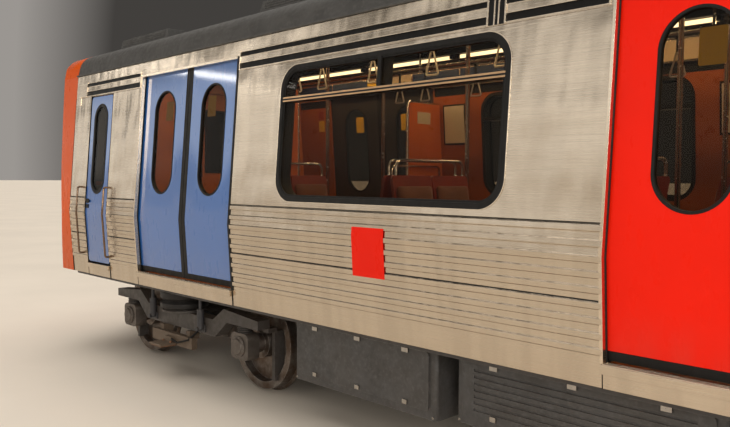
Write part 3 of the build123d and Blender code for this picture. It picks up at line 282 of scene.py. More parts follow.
class Surface(Graph):
    """A material under construction, with its Principled node."""

    def __init__(self, name, colour, roughness=0.5, **sockets):
        self.material = bpy.data.materials.new(name)
        self.material.use_nodes = True
        super().__init__(self.material.node_tree)
        self.shader = self.tree.nodes["Principled BSDF"]
        self.colour = tuple(colour)
        self.set(self.shader, Base_Color=(*colour, 1), Roughness=roughness, **sockets)
        self.coordinates = self.tree.nodes.new("ShaderNodeTexCoord").outputs["Object"]

    def texture(self, kind, scale, settings=(), **sockets):
        """A texture on the object's coordinates, with a scale per metre for each axis or for all."""
        scale = (scale,) * 3 if isinstance(scale, (int, float)) else scale
        place = self.node("Mapping", Vector=self.coordinates, Scale=scale)
        return self.node(kind, settings, Vector=place.outputs[0], Scale=1.0, **sockets).outputs

    def noise(self, scale, detail=4.0):
        """Smooth noise from 0 to 1."""
        return self.texture("TexNoise", scale, Detail=detail, Roughness=0.55)[0]

    def paint_over(self, colour, amount):
        """Mixes a colour over the surface by an amount."""
        before = self.shader.inputs["Base Color"]
        under = before.links[0].from_socket if before.is_linked else tuple(before.default_value[:3])
        self.tree.links.new(self.blend(amount, under, colour), before)
        return self

    def vary(self, scale, share, low=0.35, high=0.65, detail=4.0):
        """Lets the colour drift to a darker or lighter share of itself."""
        return self.paint_over(shade(self.colour, share), self.ramp(self.noise(scale, detail), low, high))

    def gloss(self, scale, low, high, detail=4.0, spread=0.2):
        """Roughness between two values."""
        drift = self.noise(scale, detail)
        self.set(self.shader, Roughness=self.ramp(drift, 0.5 - spread, 0.5 + spread, low, high))
        return self

    def relief(self, height, distance, strength):
        """Bump from a height value, over any bump already there."""
        bump = self.node("Bump", Height=height, Distance=distance, Strength=strength)
        normal = self.shader.inputs["Normal"]
        if normal.is_linked:
            self.tree.links.new(normal.links[0].from_socket, bump.inputs["Normal"])
        self.tree.links.new(bump.outputs[0], normal)
        return self

    def grain(self, scale, distance, strength, detail=4.0):
        """Bump from noise."""
        return self.relief(self.noise(scale, detail), distance, strength)

    def dust(self, colour, amount):
        """Dust on faces that look up, broken by noise."""
        height = self.axis(self.node("NewGeometry").outputs["Normal"], "Z")
        up = self.ramp(height, 0.2, 0.95, 0.25 * amount, amount)
        patches = self.ramp(self.noise(3), 0.3, 0.7, 0.35, 1.0)
        return self.paint_over(colour, self.maths("MULTIPLY", up, patches))

    def worn_edges(self, colour, amount, radius=0.004):
        """Rubbed edges, where the rounded normal leaves the true one."""
        dot = self.node("VectorMath", {"operation": "DOT_PRODUCT"})
        self.feed(dot.inputs[0], self.node("Bevel", {"samples": 4}, Radius=radius).outputs[0])
        self.feed(dot.inputs[1], self.node("NewGeometry").outputs["Normal"])
        edge = self.ramp(dot.outputs["Value"], 0.99, 0.85, 0.0, amount)
        return self.paint_over(colour, self.maths("MULTIPLY", edge, self.ramp(self.noise(25), 0.35, 0.6)))


def brushed_steel(name, colour, waves_and_painted_streaks=1.0):
    """Rolled stainless sheet: fine streaks along the car, the slow waves of a stretched skin, and upright
    streaks of painted reflection.
    """
    steel = Surface(name, colour, Metallic=1.0)
    steel.vary((1.5, 60, 420), 0.86, 0.3, 0.7)
    steel.vary((0.8, 2.0, 1.1), 0.88, 0.4, 0.75)
    # Painted reflection: narrow upright bands where the colour drifts darker, standing in for reflected
    # streaks of light
    steel.vary((9.0, 1.0, 1.2), 1.0 - 0.15 * waves_and_painted_streaks, 0.42, 0.60, 2)
    steel.gloss((2.5, 200, 420), 0.17, 0.31, 6, 0.25)
    steel.grain((4, 400, 500), 0.0006, 0.35, 3)
    steel.grain((9, 1, 2.2), 0.011 * waves_and_painted_streaks, 1.0, 1)
    return steel.grain((1.2, 1, 2.4), 0.03 * waves_and_painted_streaks, 0.7, 1).material


def gloss_paint(name, colour, coat):
    """Door enamel: a clear coat over colour, slow waves, fine orange peel and a faintly dusty foot."""
    paint = Surface(
        name, colour, 0.3, Specular_IOR_Level=0.12, Coat_Weight=coat, Coat_Roughness=0.07, Coat_IOR=1.8
    )
    paint.vary((0.6, 1, 0.8), 0.85, 0.3, 0.8)
    foot = paint.ramp(paint.axis(paint.coordinates, "Z"), 1.35, 0.95)
    patches = paint.ramp(paint.noise((9, 9, 3)), 0.35, 0.7, 0.02, 0.14)
    paint.paint_over((0.20, 0.16, 0.12), paint.maths("MULTIPLY", foot, patches))
    paint.gloss((14, 14, 5), 0.24, 0.38)
    return paint.grain(260, 0.0004, 0.12, 2).grain((3.2, 1, 1.6), 0.006, 0.45, 1).material


def satin_paint(name, colour, dust=(0.16, 0.12, 0.085), amount=0.6):
    """Running-gear paint, mottled, dusty on top and rubbed on its edges."""
    paint = Surface(name, colour, 0.55)
    paint.vary(6, 0.65).vary(40, 1.35, 0.5, 0.75).dust(dust, amount).worn_edges((0.30, 0.28, 0.26), 0.45)
    return paint.gloss(18, 0.42, 0.75).grain(160, 0.0012, 0.25).material


def cast_metal(name, colour):
    """Sand-cast or forged steel, brown with dust and pitted."""
    metal = Surface(name, colour, 0.6, Metallic=0.6)
    metal.vary(9, 0.6).dust((0.15, 0.10, 0.065), 0.65).worn_edges((0.45, 0.42, 0.38), 0.6)
    return metal.gloss(30, 0.38, 0.72).grain(220, 0.002, 0.35, 5).material


def rubber(name, colour=(0.007, 0.0065, 0.006)):
    """Extruded black rubber with a bloom and fine drawn lines."""
    skin = Surface(name, colour, 0.55, Specular_IOR_Level=0.25)
    skin.vary((14, 14, 3), 1.9, 0.5, 0.8).gloss((30, 30, 8), 0.42, 0.66)
    return skin.grain((300, 300, 30), 0.0005, 0.25, 3).material


def laminate(name, colour, share=0.82, roughness=(0.25, 0.42)):
    """Decorative wall laminate, faintly mottled and handled."""
    sheet = Surface(name, colour, 0.35)
    sheet.vary((2.5, 2.5, 1.5), share).vary((180, 180, 60), share, 0.45, 0.62)
    return sheet.gloss(8, *roughness).grain(380, 0.0004, 0.2, 3).material


def moulding(name, colour, roughness=(0.3, 0.5)):
    """Moulded plastic with a leather-like grain and rubbed edges."""
    plastic = Surface(name, colour, 0.4)
    plastic.vary(5, 0.75).worn_edges(shade(colour, 1.8, 0.02), 0.5).gloss(16, *roughness)
    return plastic.relief(plastic.texture("TexVoronoi", 420)["Distance"], 0.0006, 0.3).material


def cloth(name, colour):
    """Woven moquette: crossed threads, a short nap and uneven fading."""
    fabric = Surface(name, colour, 0.9, Sheen_Weight=0.35, Sheen_Roughness=0.5).vary(7, 0.7)
    threads = [
        fabric.texture("TexWave", scale, {"bands_direction": direction}, Distortion=1.5, Detail=1.0)["Fac"]
        for scale, direction in (((520, 30, 30), "X"), ((30, 520, 520), "Y"))
    ]
    weave = fabric.maths("MULTIPLY", *threads)
    fabric.paint_over(shade(colour, 1.9), fabric.ramp(weave, 0.1, 0.9, 0.0, 0.55))
    return fabric.relief(weave, 0.0012, 0.6).material


def floor_cover(name, colour):
    """Studded rubber flooring with trodden dust."""
    cover = Surface(name, colour, 0.6).vary((1.2, 2.5, 1), 0.7)
    cover.paint_over((0.30, 0.27, 0.23), cover.ramp(cover.noise((3, 6, 1), 6), 0.5, 0.75, 0.0, 0.6))
    studs = cover.texture("TexVoronoi", (34, 34, 0), Randomness=0.0)["Distance"]
    return cover.relief(cover.ramp(studs, 0.42, 0.30), 0.0015, 0.8).material


def clear_glass(name, tint):
    """Toughened glass: tinted and clear square on, mirror-like at a glance."""
    glass = Surface(name, (0.9, 0.9, 0.9), 0.02, Metallic=1.0)
    through = glass.node("BsdfTransparent", Color=(*tint, 1))
    glance = glass.maths("POWER", glass.node("LayerWeight", Blend=0.5).outputs["Facing"], 7.0)
    mix = glass.node("MixShader")
    inputs = (glass.ramp(glance, 0.0, 1.0, 0.005, 1.0), through.outputs[0], glass.shader.outputs[0])
    for target, source in zip(mix.inputs, inputs):
        glass.feed(target, source)
    glass.set(glass.tree.nodes["Material Output"], Surface=mix.outputs[0])
    return glass.grain(1.5, 0.002, 0.15, 1).material


def polished_rail(name, colour):
    """Polished tube, smeared by hands."""
    rail = Surface(name, colour, 0.15, Metallic=1.0)
    return rail.vary(20, 0.85).gloss(35, 0.1, 0.3).grain(200, 0.0003, 0.15, 2).material


def lit_cover(name):
    """Milky tube cover, lit from inside a little unevenly."""
    cover = Surface(name, (0.85, 0.78, 0.62), 0.4, Emission_Color=(1.0, 0.80, 0.50, 1), Emission_Strength=5.0)
    cover.set(cover.shader, Emission_Strength=cover.ramp(cover.noise(3), 0.3, 0.7, 4.2, 5.4))
    return cover.grain((2, 160, 160), 0.0006, 0.3).material


def ribbed_lens(name, colour, shaded_hollow):
    """Lamp glass with pressed vertical flutes over a bowl, the flute hollows painted darker as shade."""
    lens = Surface(name, colour, 0.08, Coat_Weight=1.0, Coat_Roughness=0.03)
    flutes = lens.texture("TexWave", (1, 90, 1), {"bands_direction": "Y"})["Fac"]
    # Painted shade: the darker colour fills the hollows of the flutes
    lens.paint_over(shaded_hollow, lens.ramp(flutes, 0.2, 0.9, 0.0, 0.7))
    return lens.relief(flutes, 0.004, 0.7).material


def turned_wheel(name, colour):
    """Wheel steel: a bright rolled tread, and a rusty dusty web."""
    wheel = Surface(name, colour, 0.5, Metallic=0.85).vary(12, 0.6)
    wheel.paint_over((0.10, 0.062, 0.04), wheel.ramp(wheel.noise(6, 6), 0.3, 0.6, 0.3, 0.9))
    wheel.worn_edges((0.62, 0.60, 0.57), 0.9, 0.008)
    return wheel.gloss(24, 0.3, 0.65).grain(200, 0.001, 0.25).material


finishes = {}


def make_finishes():
    """Every material, by the record's slot name or its own."""
    paint = bpy.context.scene.metro_paint
    finishes.update(
        stainless=brushed_steel("brushed stainless", paint.steel),
        steel_trim=brushed_steel("bright steel trim", shade(paint.steel, 1.15), 0.1),
        # Near black: the finish of black parts, and of the painted shade in the slots and under the lap seams
        slot_dark=rubber("dark slot", (0.003, 0.0028, 0.0026)),
        mask_paint=gloss_paint("mask enamel", paint.mask, 0.0),
        door_blue=gloss_paint("blue enamel", paint.blue, 1.0),
        door_orange=gloss_paint("red enamel", paint.red, 0.0),
        black_rubber=rubber("black rubber"),
        glass=clear_glass("side glass", (0.62, 0.58, 0.52)),
        # Each lens's second colour is painted shade in its flute hollows
        lamp_lens=ribbed_lens("lamp glass", (0.75, 0.75, 0.72), (0.30, 0.31, 0.32)),
        tail_lens=ribbed_lens("tail lamp glass", (0.42, 0.012, 0.006), (0.12, 0.004, 0.003)),
        dark_glass=laminate("dark glass", (0.012, 0.012, 0.014), 0.9, (0.04, 0.08)),
        roof_paint=satin_paint("roof paint", (0.055, 0.054, 0.052), (0.10, 0.09, 0.075), 0.4),
        frame_paint=satin_paint("frame paint", (0.030, 0.030, 0.032)),
        lining=laminate("wall laminate", paint.lining),
        ceiling=laminate("ceiling laminate", (0.030, 0.023, 0.018), 0.8, (0.4, 0.55)),
        partition=laminate("partition laminate", (0.60, 0.165, 0.028)),
        floor_cover=floor_cover("studded floor", (0.075, 0.068, 0.06)),
        seat_shell=moulding("seat moulding", paint.shell),
        seat_pad=cloth("seat moquette", paint.cloth),
        screen=laminate("screen laminate", (0.62, 0.135, 0.016)),
        leaf_lining=laminate("door lining", (0.028, 0.026, 0.025), 0.8, (0.3, 0.45)),
        rail_steel=polished_rail("polished rail", (0.70, 0.68, 0.63)),
        light_cover=lit_cover("lit tube cover"),
        desk=moulding("desk moulding", (0.035, 0.037, 0.04), (0.45, 0.65)),
        case_paint=satin_paint("case paint", (0.055, 0.056, 0.058)),
        bogie_paint=satin_paint("bogie paint", (0.045, 0.043, 0.042), (0.15, 0.10, 0.065), 0.75),
        cast_steel=cast_metal("cast steel", (0.16, 0.14, 0.125)),
        wheel_steel=turned_wheel("wheel steel", (0.30, 0.28, 0.26)),
        spring_rubber=rubber("bellows rubber", (0.022, 0.020, 0.019)),
        motor_paint=satin_paint("motor enamel", (0.028, 0.032, 0.042)),
        handrail=polished_rail("brown handrail", (0.20, 0.13, 0.085)),
        beam_board=laminate("collector board", (0.15, 0.105, 0.07), 0.7, (0.5, 0.7)),
        bronze_trim=brushed_steel("bronze trim", (0.46, 0.30, 0.17), 0.1),
        cove_beige=laminate("beige cove", (0.42, 0.31, 0.19)),
        cove_blue=laminate("blue cove", (0.012, 0.026, 0.075)),
        poster=laminate("blank poster", (0.60, 0.52, 0.38)),
        sign_yellow=laminate("blank sign", (0.70, 0.42, 0.035)),
        grip=moulding("strap grip", (0.62, 0.56, 0.46)),
        copper=cast_metal("contact copper", (0.42, 0.19, 0.09)),
        steel_dull=polished_rail("dull steel", (0.40, 0.38, 0.35)),
    )


# Shapes


def wall_y(height, depth=0.0):
    """Half width of the car at a height above the floor, a depth inside its widest line."""
    if height < KNEE:
        lean = FOOT_LEAN * (KNEE - height) / (KNEE - SKIRT)
    else:
        lean = HEAD_LEAN * (height - KNEE) / (GUTTER - KNEE)
    return HALF_WIDTH - lean - depth


def on_wall(bm, side):
    """Bends a flat shape of (x, depth, height) to the side wall, folded at the knee."""
    everything = bm.verts[:] + bm.edges[:] + bm.faces[:]
    bmesh.ops.bisect_plane(bm, geom=everything, dist=1e-5, plane_co=(0, 0, KNEE), plane_no=(0, 0, 1))
    for vertex in bm.verts:
        x, depth, height = vertex.co
        vertex.co = (x, side * wall_y(height, depth), FLOOR + height)
    if side > 0:
        bmesh.ops.reverse_faces(bm, faces=bm.faces[:])


def about(middle, half):
    """A range round its middle."""
    return middle - half, middle + half


def block(bm, *ranges):
    """A box from its ranges of X, Y and Z, or of X, depth and height in a wall's flat space."""
    low, high = (Vector(corner) for corner in zip(*map(sorted, ranges)))
    place = Matrix.Translation((low + high) / 2) @ Matrix.Diagonal((*(high - low), 1))
    bmesh.ops.create_cube(bm, size=1.0, matrix=place)


def upright(axis):
    """The turn that lays the Z axis along another."""
    return Vector(axis).to_track_quat("Z", "Y").to_matrix().to_4x4()


def rod(bm, start, along, radius, end_radius=None, segments=16):
    """A round bar or cone from a point, along a vector."""
    along = Vector(along)
    place = Matrix.Translation(Vector(start) + along / 2) @ upright(along)
    radii = {"radius1": radius, "radius2": radius if end_radius is None else end_radius}
    bmesh.ops.create_cone(bm, cap_ends=True, segments=segments, depth=along.length, matrix=place, **radii)


def grown(outline, margin):
    """A rounded outline with a margin added all round."""
    centre, (width, height), radius = outline
    return centre, (width + 2 * margin, height + 2 * margin), radius + margin


def disc(centre, diameter):
    """A round outline."""
    return centre, (diameter, diameter), diameter / 2


def rounded_loop(bm, centre, size, radius, depth, segments=48):
    """Edges of a rounded outline in a wall's flat (x, depth, height) space."""
    half_step = math.pi / segments
    turn = Matrix.Rotation(math.pi / 2, 4, "X") @ Matrix.Rotation(half_step, 4, "Z")
    corner = radius / math.cos(half_step)
    loop = bmesh.ops.create_circle(bm, segments=segments, radius=corner, matrix=turn)["verts"]
    reach = (max(0.0, size[0] / 2 - radius), max(0.0, size[1] / 2 - radius))
    for vertex in loop:
        vertex.co.x += math.copysign(reach[0], vertex.co.x) + centre[0]
        vertex.co.z += math.copysign(reach[1], vertex.co.z) + centre[1]
        vertex.co.y = depth
    members = set(loop)
    edges = (edge for vertex in loop for edge in vertex.link_edges if edge.other_vert(vertex) in members)
    return list(dict.fromkeys(edges))


def thicken(bm, faces, depth):
    """Gives flat wall-space faces a depth inwards."""
    made = bmesh.ops.extrude_face_region(bm, geom=faces)
    moved = [part for part in made["geom"] if isinstance(part, bmesh.types.BMVert)]
    bmesh.ops.translate(bm, verts=moved, vec=(0, depth, 0))
    bmesh.ops.recalc_face_normals(bm, faces=bm.faces[:])


def holed_plate(bm, outer, hole, depths):
    """A plate with a rounded hole: outer and hole are (centre, size, radius)."""
    edges = [edge for outline in (outer, hole) for edge in rounded_loop(bm, *outline, depths[0])]
    thicken(bm, bmesh.ops.bridge_loops(bm, edges=edges)["faces"], depths[1] - depths[0])


def pane(bm, outline, depths):
    """A filled rounded plate."""
    edges = rounded_loop(bm, *outline, depths[0])
    thicken(bm, bmesh.ops.holes_fill(bm, edges=edges, sides=0)["faces"], depths[1] - depths[0])


def nose_x(y, level):
    """X of the cab's front, from its plan and its side view."""
    plan = NOSE_MIDDLE + NOSE_PLAN_RADIUS - math.sqrt(NOSE_PLAN_RADIUS**2 - y * y)
    if level < NOSE_CHIN[1]:
        view = NOSE_CHIN[0] + NOSE_FOOT_SET * (NOSE_CHIN[1] - level) / (NOSE_CHIN[1] - FLOOR - SKIRT)
    else:
        view = NOSE_CHIN[0] + NOSE_VIEW_RADIUS - math.sqrt(NOSE_VIEW_RADIUS**2 - (level - NOSE_CHIN[1]) ** 2)
    return max(plan, view)


def cuts(bm, axis, first, last, step):
    """Cuts a shape by evenly spaced planes across one axis, so that it can follow a curve."""
    normal = [float(axis == index) for index in range(3)]
    for number in range(round((last - first) / step) + 1):
        place = [value * (first + number * step) for value in normal]
        everything = bm.verts[:] + bm.edges[:] + bm.faces[:]
        bmesh.ops.bisect_plane(bm, geom=everything, dist=1e-5, plane_co=place, plane_no=normal)


def on_nose(bm):
    """Bends a flat shape of (Y, depth, level) to the cab's front."""
    cuts(bm, 0, -1.3, 1.3, 0.1)
    cuts(bm, 2, 1.1, 3.3, 0.2)
    for vertex in bm.verts:
        y, depth, level = vertex.co
        vertex.co = (nose_x(y, level) + depth, y, level)
    bmesh.ops.recalc_face_normals(bm, faces=bm.faces[:])


def roof_z(y):
    """Level of the roof's arch at a distance from the car's middle."""
    return FLOOR + ROOF_CROWN - ROOF_RADIUS + math.sqrt(ROOF_RADIUS**2 - y * y)


def arc_points(centre, radius, first, last, count=5):
    """Points of an arc in a plane, in degrees."""
    angles = [math.radians(first + (last - first) * step / (count - 1)) for step in range(count)]
    return [(centre[0] + radius * math.cos(angle), centre[1] + radius * math.sin(angle)) for angle in angles]


def add_shape(bm, shape):
    """Moves one shape into another."""
    mesh = bpy.data.meshes.new("shape")
    shape.to_mesh(mesh)
    shape.free()
    bm.from_mesh(mesh)
    bpy.data.meshes.remove(mesh)


def spun(bm, outline, centre, axis, segments=32):
    """A turned shape: outline is (distance along the axis, radius) pairs from pole to pole."""
    place = Matrix.Translation(centre) @ upright(axis)
    shape = bmesh.new()
    line = [shape.verts.new(place @ Vector((radius, 0, along))) for along, radius in outline]
    edges = [shape.edges.new(pair) for pair in zip(line, line[1:])]
    bmesh.ops.spin(
        shape, geom=line + edges, cent=centre, axis=axis, angle=2 * math.pi, steps=segments, use_merge=True
    )
    bmesh.ops.remove_doubles(shape, verts=shape.verts[:], dist=1e-6)
    bmesh.ops.recalc_face_normals(shape, faces=shape.faces[:])
    add_shape(bm, shape)


def linked(name, data):
    """A new object in the scene."""
    made = bpy.data.objects.new(name, data)
    bpy.context.scene.collection.objects.link(made)
    return made


def evaluated(holder):
    """The mesh that an object's modifiers or curve make."""
    graph = bpy.context.evaluated_depsgraph_get()
    return bpy.data.meshes.new_from_object(holder.evaluated_get(graph))


def stuffed(width, length, thickness, cap):
    """A pad swollen by a cloth simulation, flat below, lying about its own middle."""
    bm = bmesh.new()
    block(bm, *(about(0, size / 2) for size in (width, length, thickness)))
    corners = [edge for edge in bm.edges if abs(edge.verts[0].co.z - edge.verts[1].co.z) > thickness / 2]
    bmesh.ops.bevel(bm, geom=corners, offset=0.035, segments=4, profile=0.5, affect="EDGES", material=-1)
    pad = linked("pad pattern", bpy.data.meshes.new("pad pattern"))
    bm.to_mesh(pad.data)
    bm.free()
    even = pad.modifiers.new("even cells", "REMESH")
    even.mode = "VOXEL"
    even.voxel_size = 0.0095
    pad.data = evaluated(pad)
    pad.modifiers.clear()
    scene = bpy.context.scene
    rest = [vertex.co.copy() for vertex in pad.data.vertices]
    stuffing = pad.modifiers.new("stuffing", "CLOTH")
    stuffing.settings.use_pressure = True
    stuffing.settings.uniform_pressure_force = 4
    stuffing.settings.effector_weights.gravity = 0
    for number in range(1, 21):
        scene.frame_set(number)
    pad.data = evaluated(pad)
    pad.modifiers.clear()
    scene.frame_set(1)
    for vertex, place in zip(pad.data.vertices, rest):
        moved = vertex.co - place
        if moved.length > cap:
            moved.length = cap
        vertex.co = place + moved
        vertex.co.z = max(vertex.co.z, -thickness / 2)
    mesh = pad.data
    bpy.data.objects.remove(pad)
    return mesh


def round_edges(thing, width, angle):
    """Rounds the edges that turn by more than an angle, in degrees."""
    rounding = thing.modifiers.new("rounded edges", "BEVEL")
    rounding.width = width
    rounding.segments = 2
    rounding.limit_method = "ANGLE"
    rounding.angle_limit = math.radians(angle)
    rounding.harden_normals = True


def piece(name, bm, body, slot, finish=None, bevel=0.0, replaced=(), smooth=35, level=0.0):
    """Turns a bmesh into a finished piece that rides on a body, its heights counted from a level."""
    bmesh.ops.translate(bm, verts=bm.verts[:], vec=(0, 0, level))
    mesh = bpy.data.meshes.new(name)
    bm.to_mesh(mesh)
    bm.free()
    mesh.polygons.foreach_set("use_smooth", [True] * len(mesh.polygons))
    mesh.set_sharp_from_angle(angle=math.radians(smooth))
    made = linked(name, mesh)
    mesh.materials.append(finishes[finish or slot])
    if bevel:
        round_edges(made, bevel, 35)
    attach(made, body)
    if replaced:
        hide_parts(*replaced)
    return made


def new_shapes(looks):
    """An empty bmesh for each name."""
    return {name: bmesh.new() for name in looks}


def dress(body, looks, shapes, name="{}", level=0.0):
    """Makes a piece of each shape: looks holds its slot and, where it has them, finish, bevel and nodes."""
    for part, look in looks.items():
        piece(name.format(part), shapes[part], body, *look, level=level)


def dress_sides(looks, fill):
    """Makes wall pieces on both sides, from shapes that the fill function makes in a wall's flat space."""
    for side_name, side in SIDES:
        shapes = new_shapes(looks)
        fill(*shapes.values())
        for shape in shapes.values():
            on_wall(shape, side)
        dress("car_body", looks, shapes, "{}_" + side_name)


def joined(name, paths, radius, body, slot, finish=None, replaced=(), level=0.0):
    """Bent round bars through lists of points, as one piece."""
    curve = bpy.data.curves.new(name, "CURVE")
    curve.dimensions = "3D"
    curve.bevel_depth = radius
    curve.bevel_resolution = 3
    curve.use_fill_caps = True
    for points in paths:
        line = curve.splines.new("POLY")
        line.points.add(len(points) - 1)
        for point, place in zip(line.points, points):
            point.co = (*place, 1)
    holder = linked(name + " path", curve)
    mesh = evaluated(holder)
    bpy.data.objects.remove(holder)
    bm = bmesh.new()
    bm.from_mesh(mesh)
    bpy.data.meshes.remove(mesh)
    bmesh.ops.remove_doubles(bm, verts=bm.verts[:], dist=1e-6)
    bmesh.ops.recalc_face_normals(bm, faces=bm.faces[:])
    return piece(name, bm, body, slot, finish, replaced=replaced, smooth=50, level=level)


# Pieces


class METRO_OT_shell(bpy.types.Operator):
    """Gives every carried-over solid its finish and its rounded edges."""

    bl_idname = "metro.shell"
    bl_label = "Shell Finishes"

    def execute(self, context):
        for part in frame["record"]["subparts"]:
            solid = frame["nodes"][part["node"]]
            solid.data.materials.clear()
            solid.data.materials.append(finishes[part["material_slot"]])
            weld = solid.modifiers.new("joined facets", "WELD")
            weld.merge_threshold = 1e-5
            round_edges(solid, context.scene.metro_sizes.edge, 40)
        return {"FINISHED"}


class METRO_OT_door_leaves(bpy.types.Operator):
    """Sliding leaves: enamelled skins, inner skins, rubbers, panes and blank signs."""

    bl_idname = "metro.door_leaves"
    bl_label = "Sliding Doors"

    def leaf(self, sizes, names):
        """Shapes of a leaf that reaches from X 0 aft, in a wall's flat space."""
        shapes = new_shapes(names)
        skin, inner_skin, rubbers, glazing, sign = shapes.values()
        strip = sizes.meeting_strip
        middle = ((strip + LEAF_END) / 2, (LEAF_SILL + LEAF_TOP) / 2)
        outline = (middle, (LEAF_END - strip, LEAF_TOP - LEAF_SILL), 0.004)
        proud = (LEAF_FACE - 0.002, LEAF_BACK + 0.002)
        gasket = grown(LEAF_WINDOW, 0.003), grown(LEAF_WINDOW, -sizes.gasket)
        holed_plate(skin, outline, LEAF_WINDOW, (LEAF_FACE, LEAF_MIDDLE))
        holed_plate(inner_skin, outline, LEAF_WINDOW, (LEAF_MIDDLE, LEAF_BACK))
        holed_plate(rubbers, *gasket, (LEAF_FACE - 0.003, LEAF_BACK + 0.003))
        block(rubbers, (0.003, strip), proud, (LEAF_FOOT, LEAF_TOP))
        block(rubbers, (strip, LEAF_END), proud, (LEAF_FOOT, LEAF_SILL))
        pane(glazing, grown(LEAF_WINDOW, -0.01), (0.064, 0.070))
        pane(sign, ((0.365, 1.565), (0.13, 0.18), 0.012), (0.0702, 0.0708))
        return shapes

    def execute(self, context):
        for side_name, side in SIDES:
            for place_name, centre in DOORWAYS:
                for end_name, away in (("fore", -1), ("aft", 1)):
                    node = f"door_{side_name}_{place_name}_{end_name}"
                    paint = "door_blue" if place_name == "front" else "door_orange"
                    looks = {
                        "skin": (paint, None, 0.003, (node,)),
                        "inner_skin": ("lining", "leaf_lining", 0.002),
                        "rubbers": ("black_rubber", None, 0.002),
                        "pane": ("glass",),
                        "blank_sign": ("glass", "sign_yellow"),
                    }
                    shapes = self.leaf(context.scene.metro_sizes, looks)
                    for shape in shapes.values():
                        if away < 0:
                            bmesh.ops.scale(shape, verts=shape.verts[:], vec=(-1, 1, 1))
                            bmesh.ops.reverse_faces(shape, faces=shape.faces[:])
                        bmesh.ops.translate(shape, verts=shape.verts[:], vec=(centre, 0, 0))
                        on_wall(shape, side)
                    dress(node, looks, shapes, node + "_{}")
        return {"FINISHED"}


class METRO_OT_cab_doors(bpy.types.Operator):
    """Cab doors: enamelled leaf, deep window rubber, pane, lock and handle."""

    bl_idname = "metro.cab_doors"
    bl_label = "Cab Doors"

    def execute(self, context):
        for side_name, side in SIDES:
            node = f"cab_door_{side_name}"
            looks = {
                "skin": ("door_blue", None, 0.004, (node,)),
                "rubbers": ("black_rubber", None, 0.003),
                "pane": ("glass",),
                "lock": ("black_rubber", None, 0.003),
            }
            shapes = new_shapes(looks)
            skin, rubbers, glazing, lock = shapes.values()
            holed_plate(skin, CAB_LEAF, CAB_LEAF_WINDOW, (0.006, 0.038))
            deep_rubber = grown(CAB_LEAF_WINDOW, 0.005), grown(CAB_LEAF_WINDOW, -0.032)
            holed_plate(rubbers, *deep_rubber, (0.002, 0.042))
            pane(glazing, grown(CAB_LEAF_WINDOW, -0.01), (0.014, 0.020))
            for heights in ((0.655, 0.70), (0.60, 0.64)):
                block(lock, (-6.966, -6.90), (0.0, 0.01), heights)
            block(lock, (-6.955, -6.875), (-0.008, 0.002), (0.666, 0.688))
            for shape in shapes.values():
                on_wall(shape, side)
            dress(node, looks, shapes, node + "_{}")
        return {"FINISHED"}


class METRO_OT_side_trim(bpy.types.Operator):
    """Jambs, painted shadow lines under the lap seams, painted shade in the slots with their posts, sill
    ridges and a blank plate, on both sides.
    """

    bl_idname = "metro.side_trim"
    bl_label = "Side Trim"

    def doorway(self, steel, rubbers, fore, aft):
        """Jambs, head strip and sill ridges of a doorway."""
        full = (0, DOORWAY_HEAD)
        block(steel, (fore - 0.012, fore + 0.005), (0.0005, 0.045), full)
        block(rubbers, (aft - 0.045, aft + 0.004), (0.03, 0.046), full)
        block(rubbers, (fore, fore + 0.01), (0.034, 0.0455), full)
        block(rubbers, (aft - 0.008, aft + 0.02), (-0.001, 0.03), full)
        block(steel, (fore, aft), (0.002, 0.045), (1.925, 1.947))
        for ridge in range(5):
            depth = -0.016 + ridge * 0.012
            block(steel, (fore + 0.01, aft - 0.01), (depth, depth + 0.005), (-0.001, 0.004))

    def slots(self, steel, seams):
        """Lips, dark plates of painted shade in the slots, and posts of the slotted band."""
        for low, high in SLOT_SPANS:
            for foot, head in SLOT_HEIGHTS:
                # Painted shade: a dark plate set back in each slot
                block(seams, (low + 0.001, high - 0.001), (0.0125, 0.0148), (foot + 0.001, head - 0.001))
                block(steel, (low, high), (0.0005, 0.004), (head - 0.002, head + 0.004))
                block(steel, (low, high), (0.0005, 0.004), (foot - 0.005, foot + 0.001))
            for x in (low, high):
                block(steel, about(x, 0.006), (-0.002, 0.013), (1.825, 1.985))
        block(seams, BAND_POST, (0.0008, 0.004), BAND_HEIGHTS)
        for x in (-1.58, -1.55):
            block(steel, about(x, 0.005), (-0.003, 0.003), BAND_HEIGHTS)

    def fill_side(self, steel, seams, rubbers, plate):
        """One side's doorways, seams, slots and plates."""
        for name, centre in DOORWAYS:
            self.doorway(steel, rubbers, *about(centre, DOORWAY_HALF))
        for low, high in PANELS:
            # Painted shadow: a dark strip along each lap seam
            for depths, heights in LAP_SHADOW_LINES:
                block(seams, (low + 0.002, high - 0.002), depths, heights)
            for x in (low + 0.001, high - 0.001):
                block(seams, about(x, 0.0015), (0.0008, 0.02), (SKIRT, 1.82))
            for x in (low + 0.0095, high - 0.0095):
                block(steel, about(x, 0.007), (0.0025, 0.012), (0.06, 0.7165))
        self.slots(steel, seams)
        block(steel, (-7.37, -7.13), (-0.004, 0.004), (1.83, 1.975))
        block(steel, (-7.335, -7.265), (-0.002, 0.004), (1.74, 1.83))
        block(plate, (-2.675, -2.37), (-0.002, 0.0005), (0.275, 0.61))

    def execute(self, context):
        looks = {
            "steel_trim": ("stainless", "steel_trim", 0.001),
            # Dark panel joints, with the painted shade of the slots and lap seams
            "dark_seams": ("stainless", "slot_dark"),
            "jamb_rubbers": ("black_rubber", None, 0.004),
            "blank_plate": ("door_orange", None, 0.0008),
        }
        dress_sides(looks, self.fill_side)
        return {"FINISHED"}


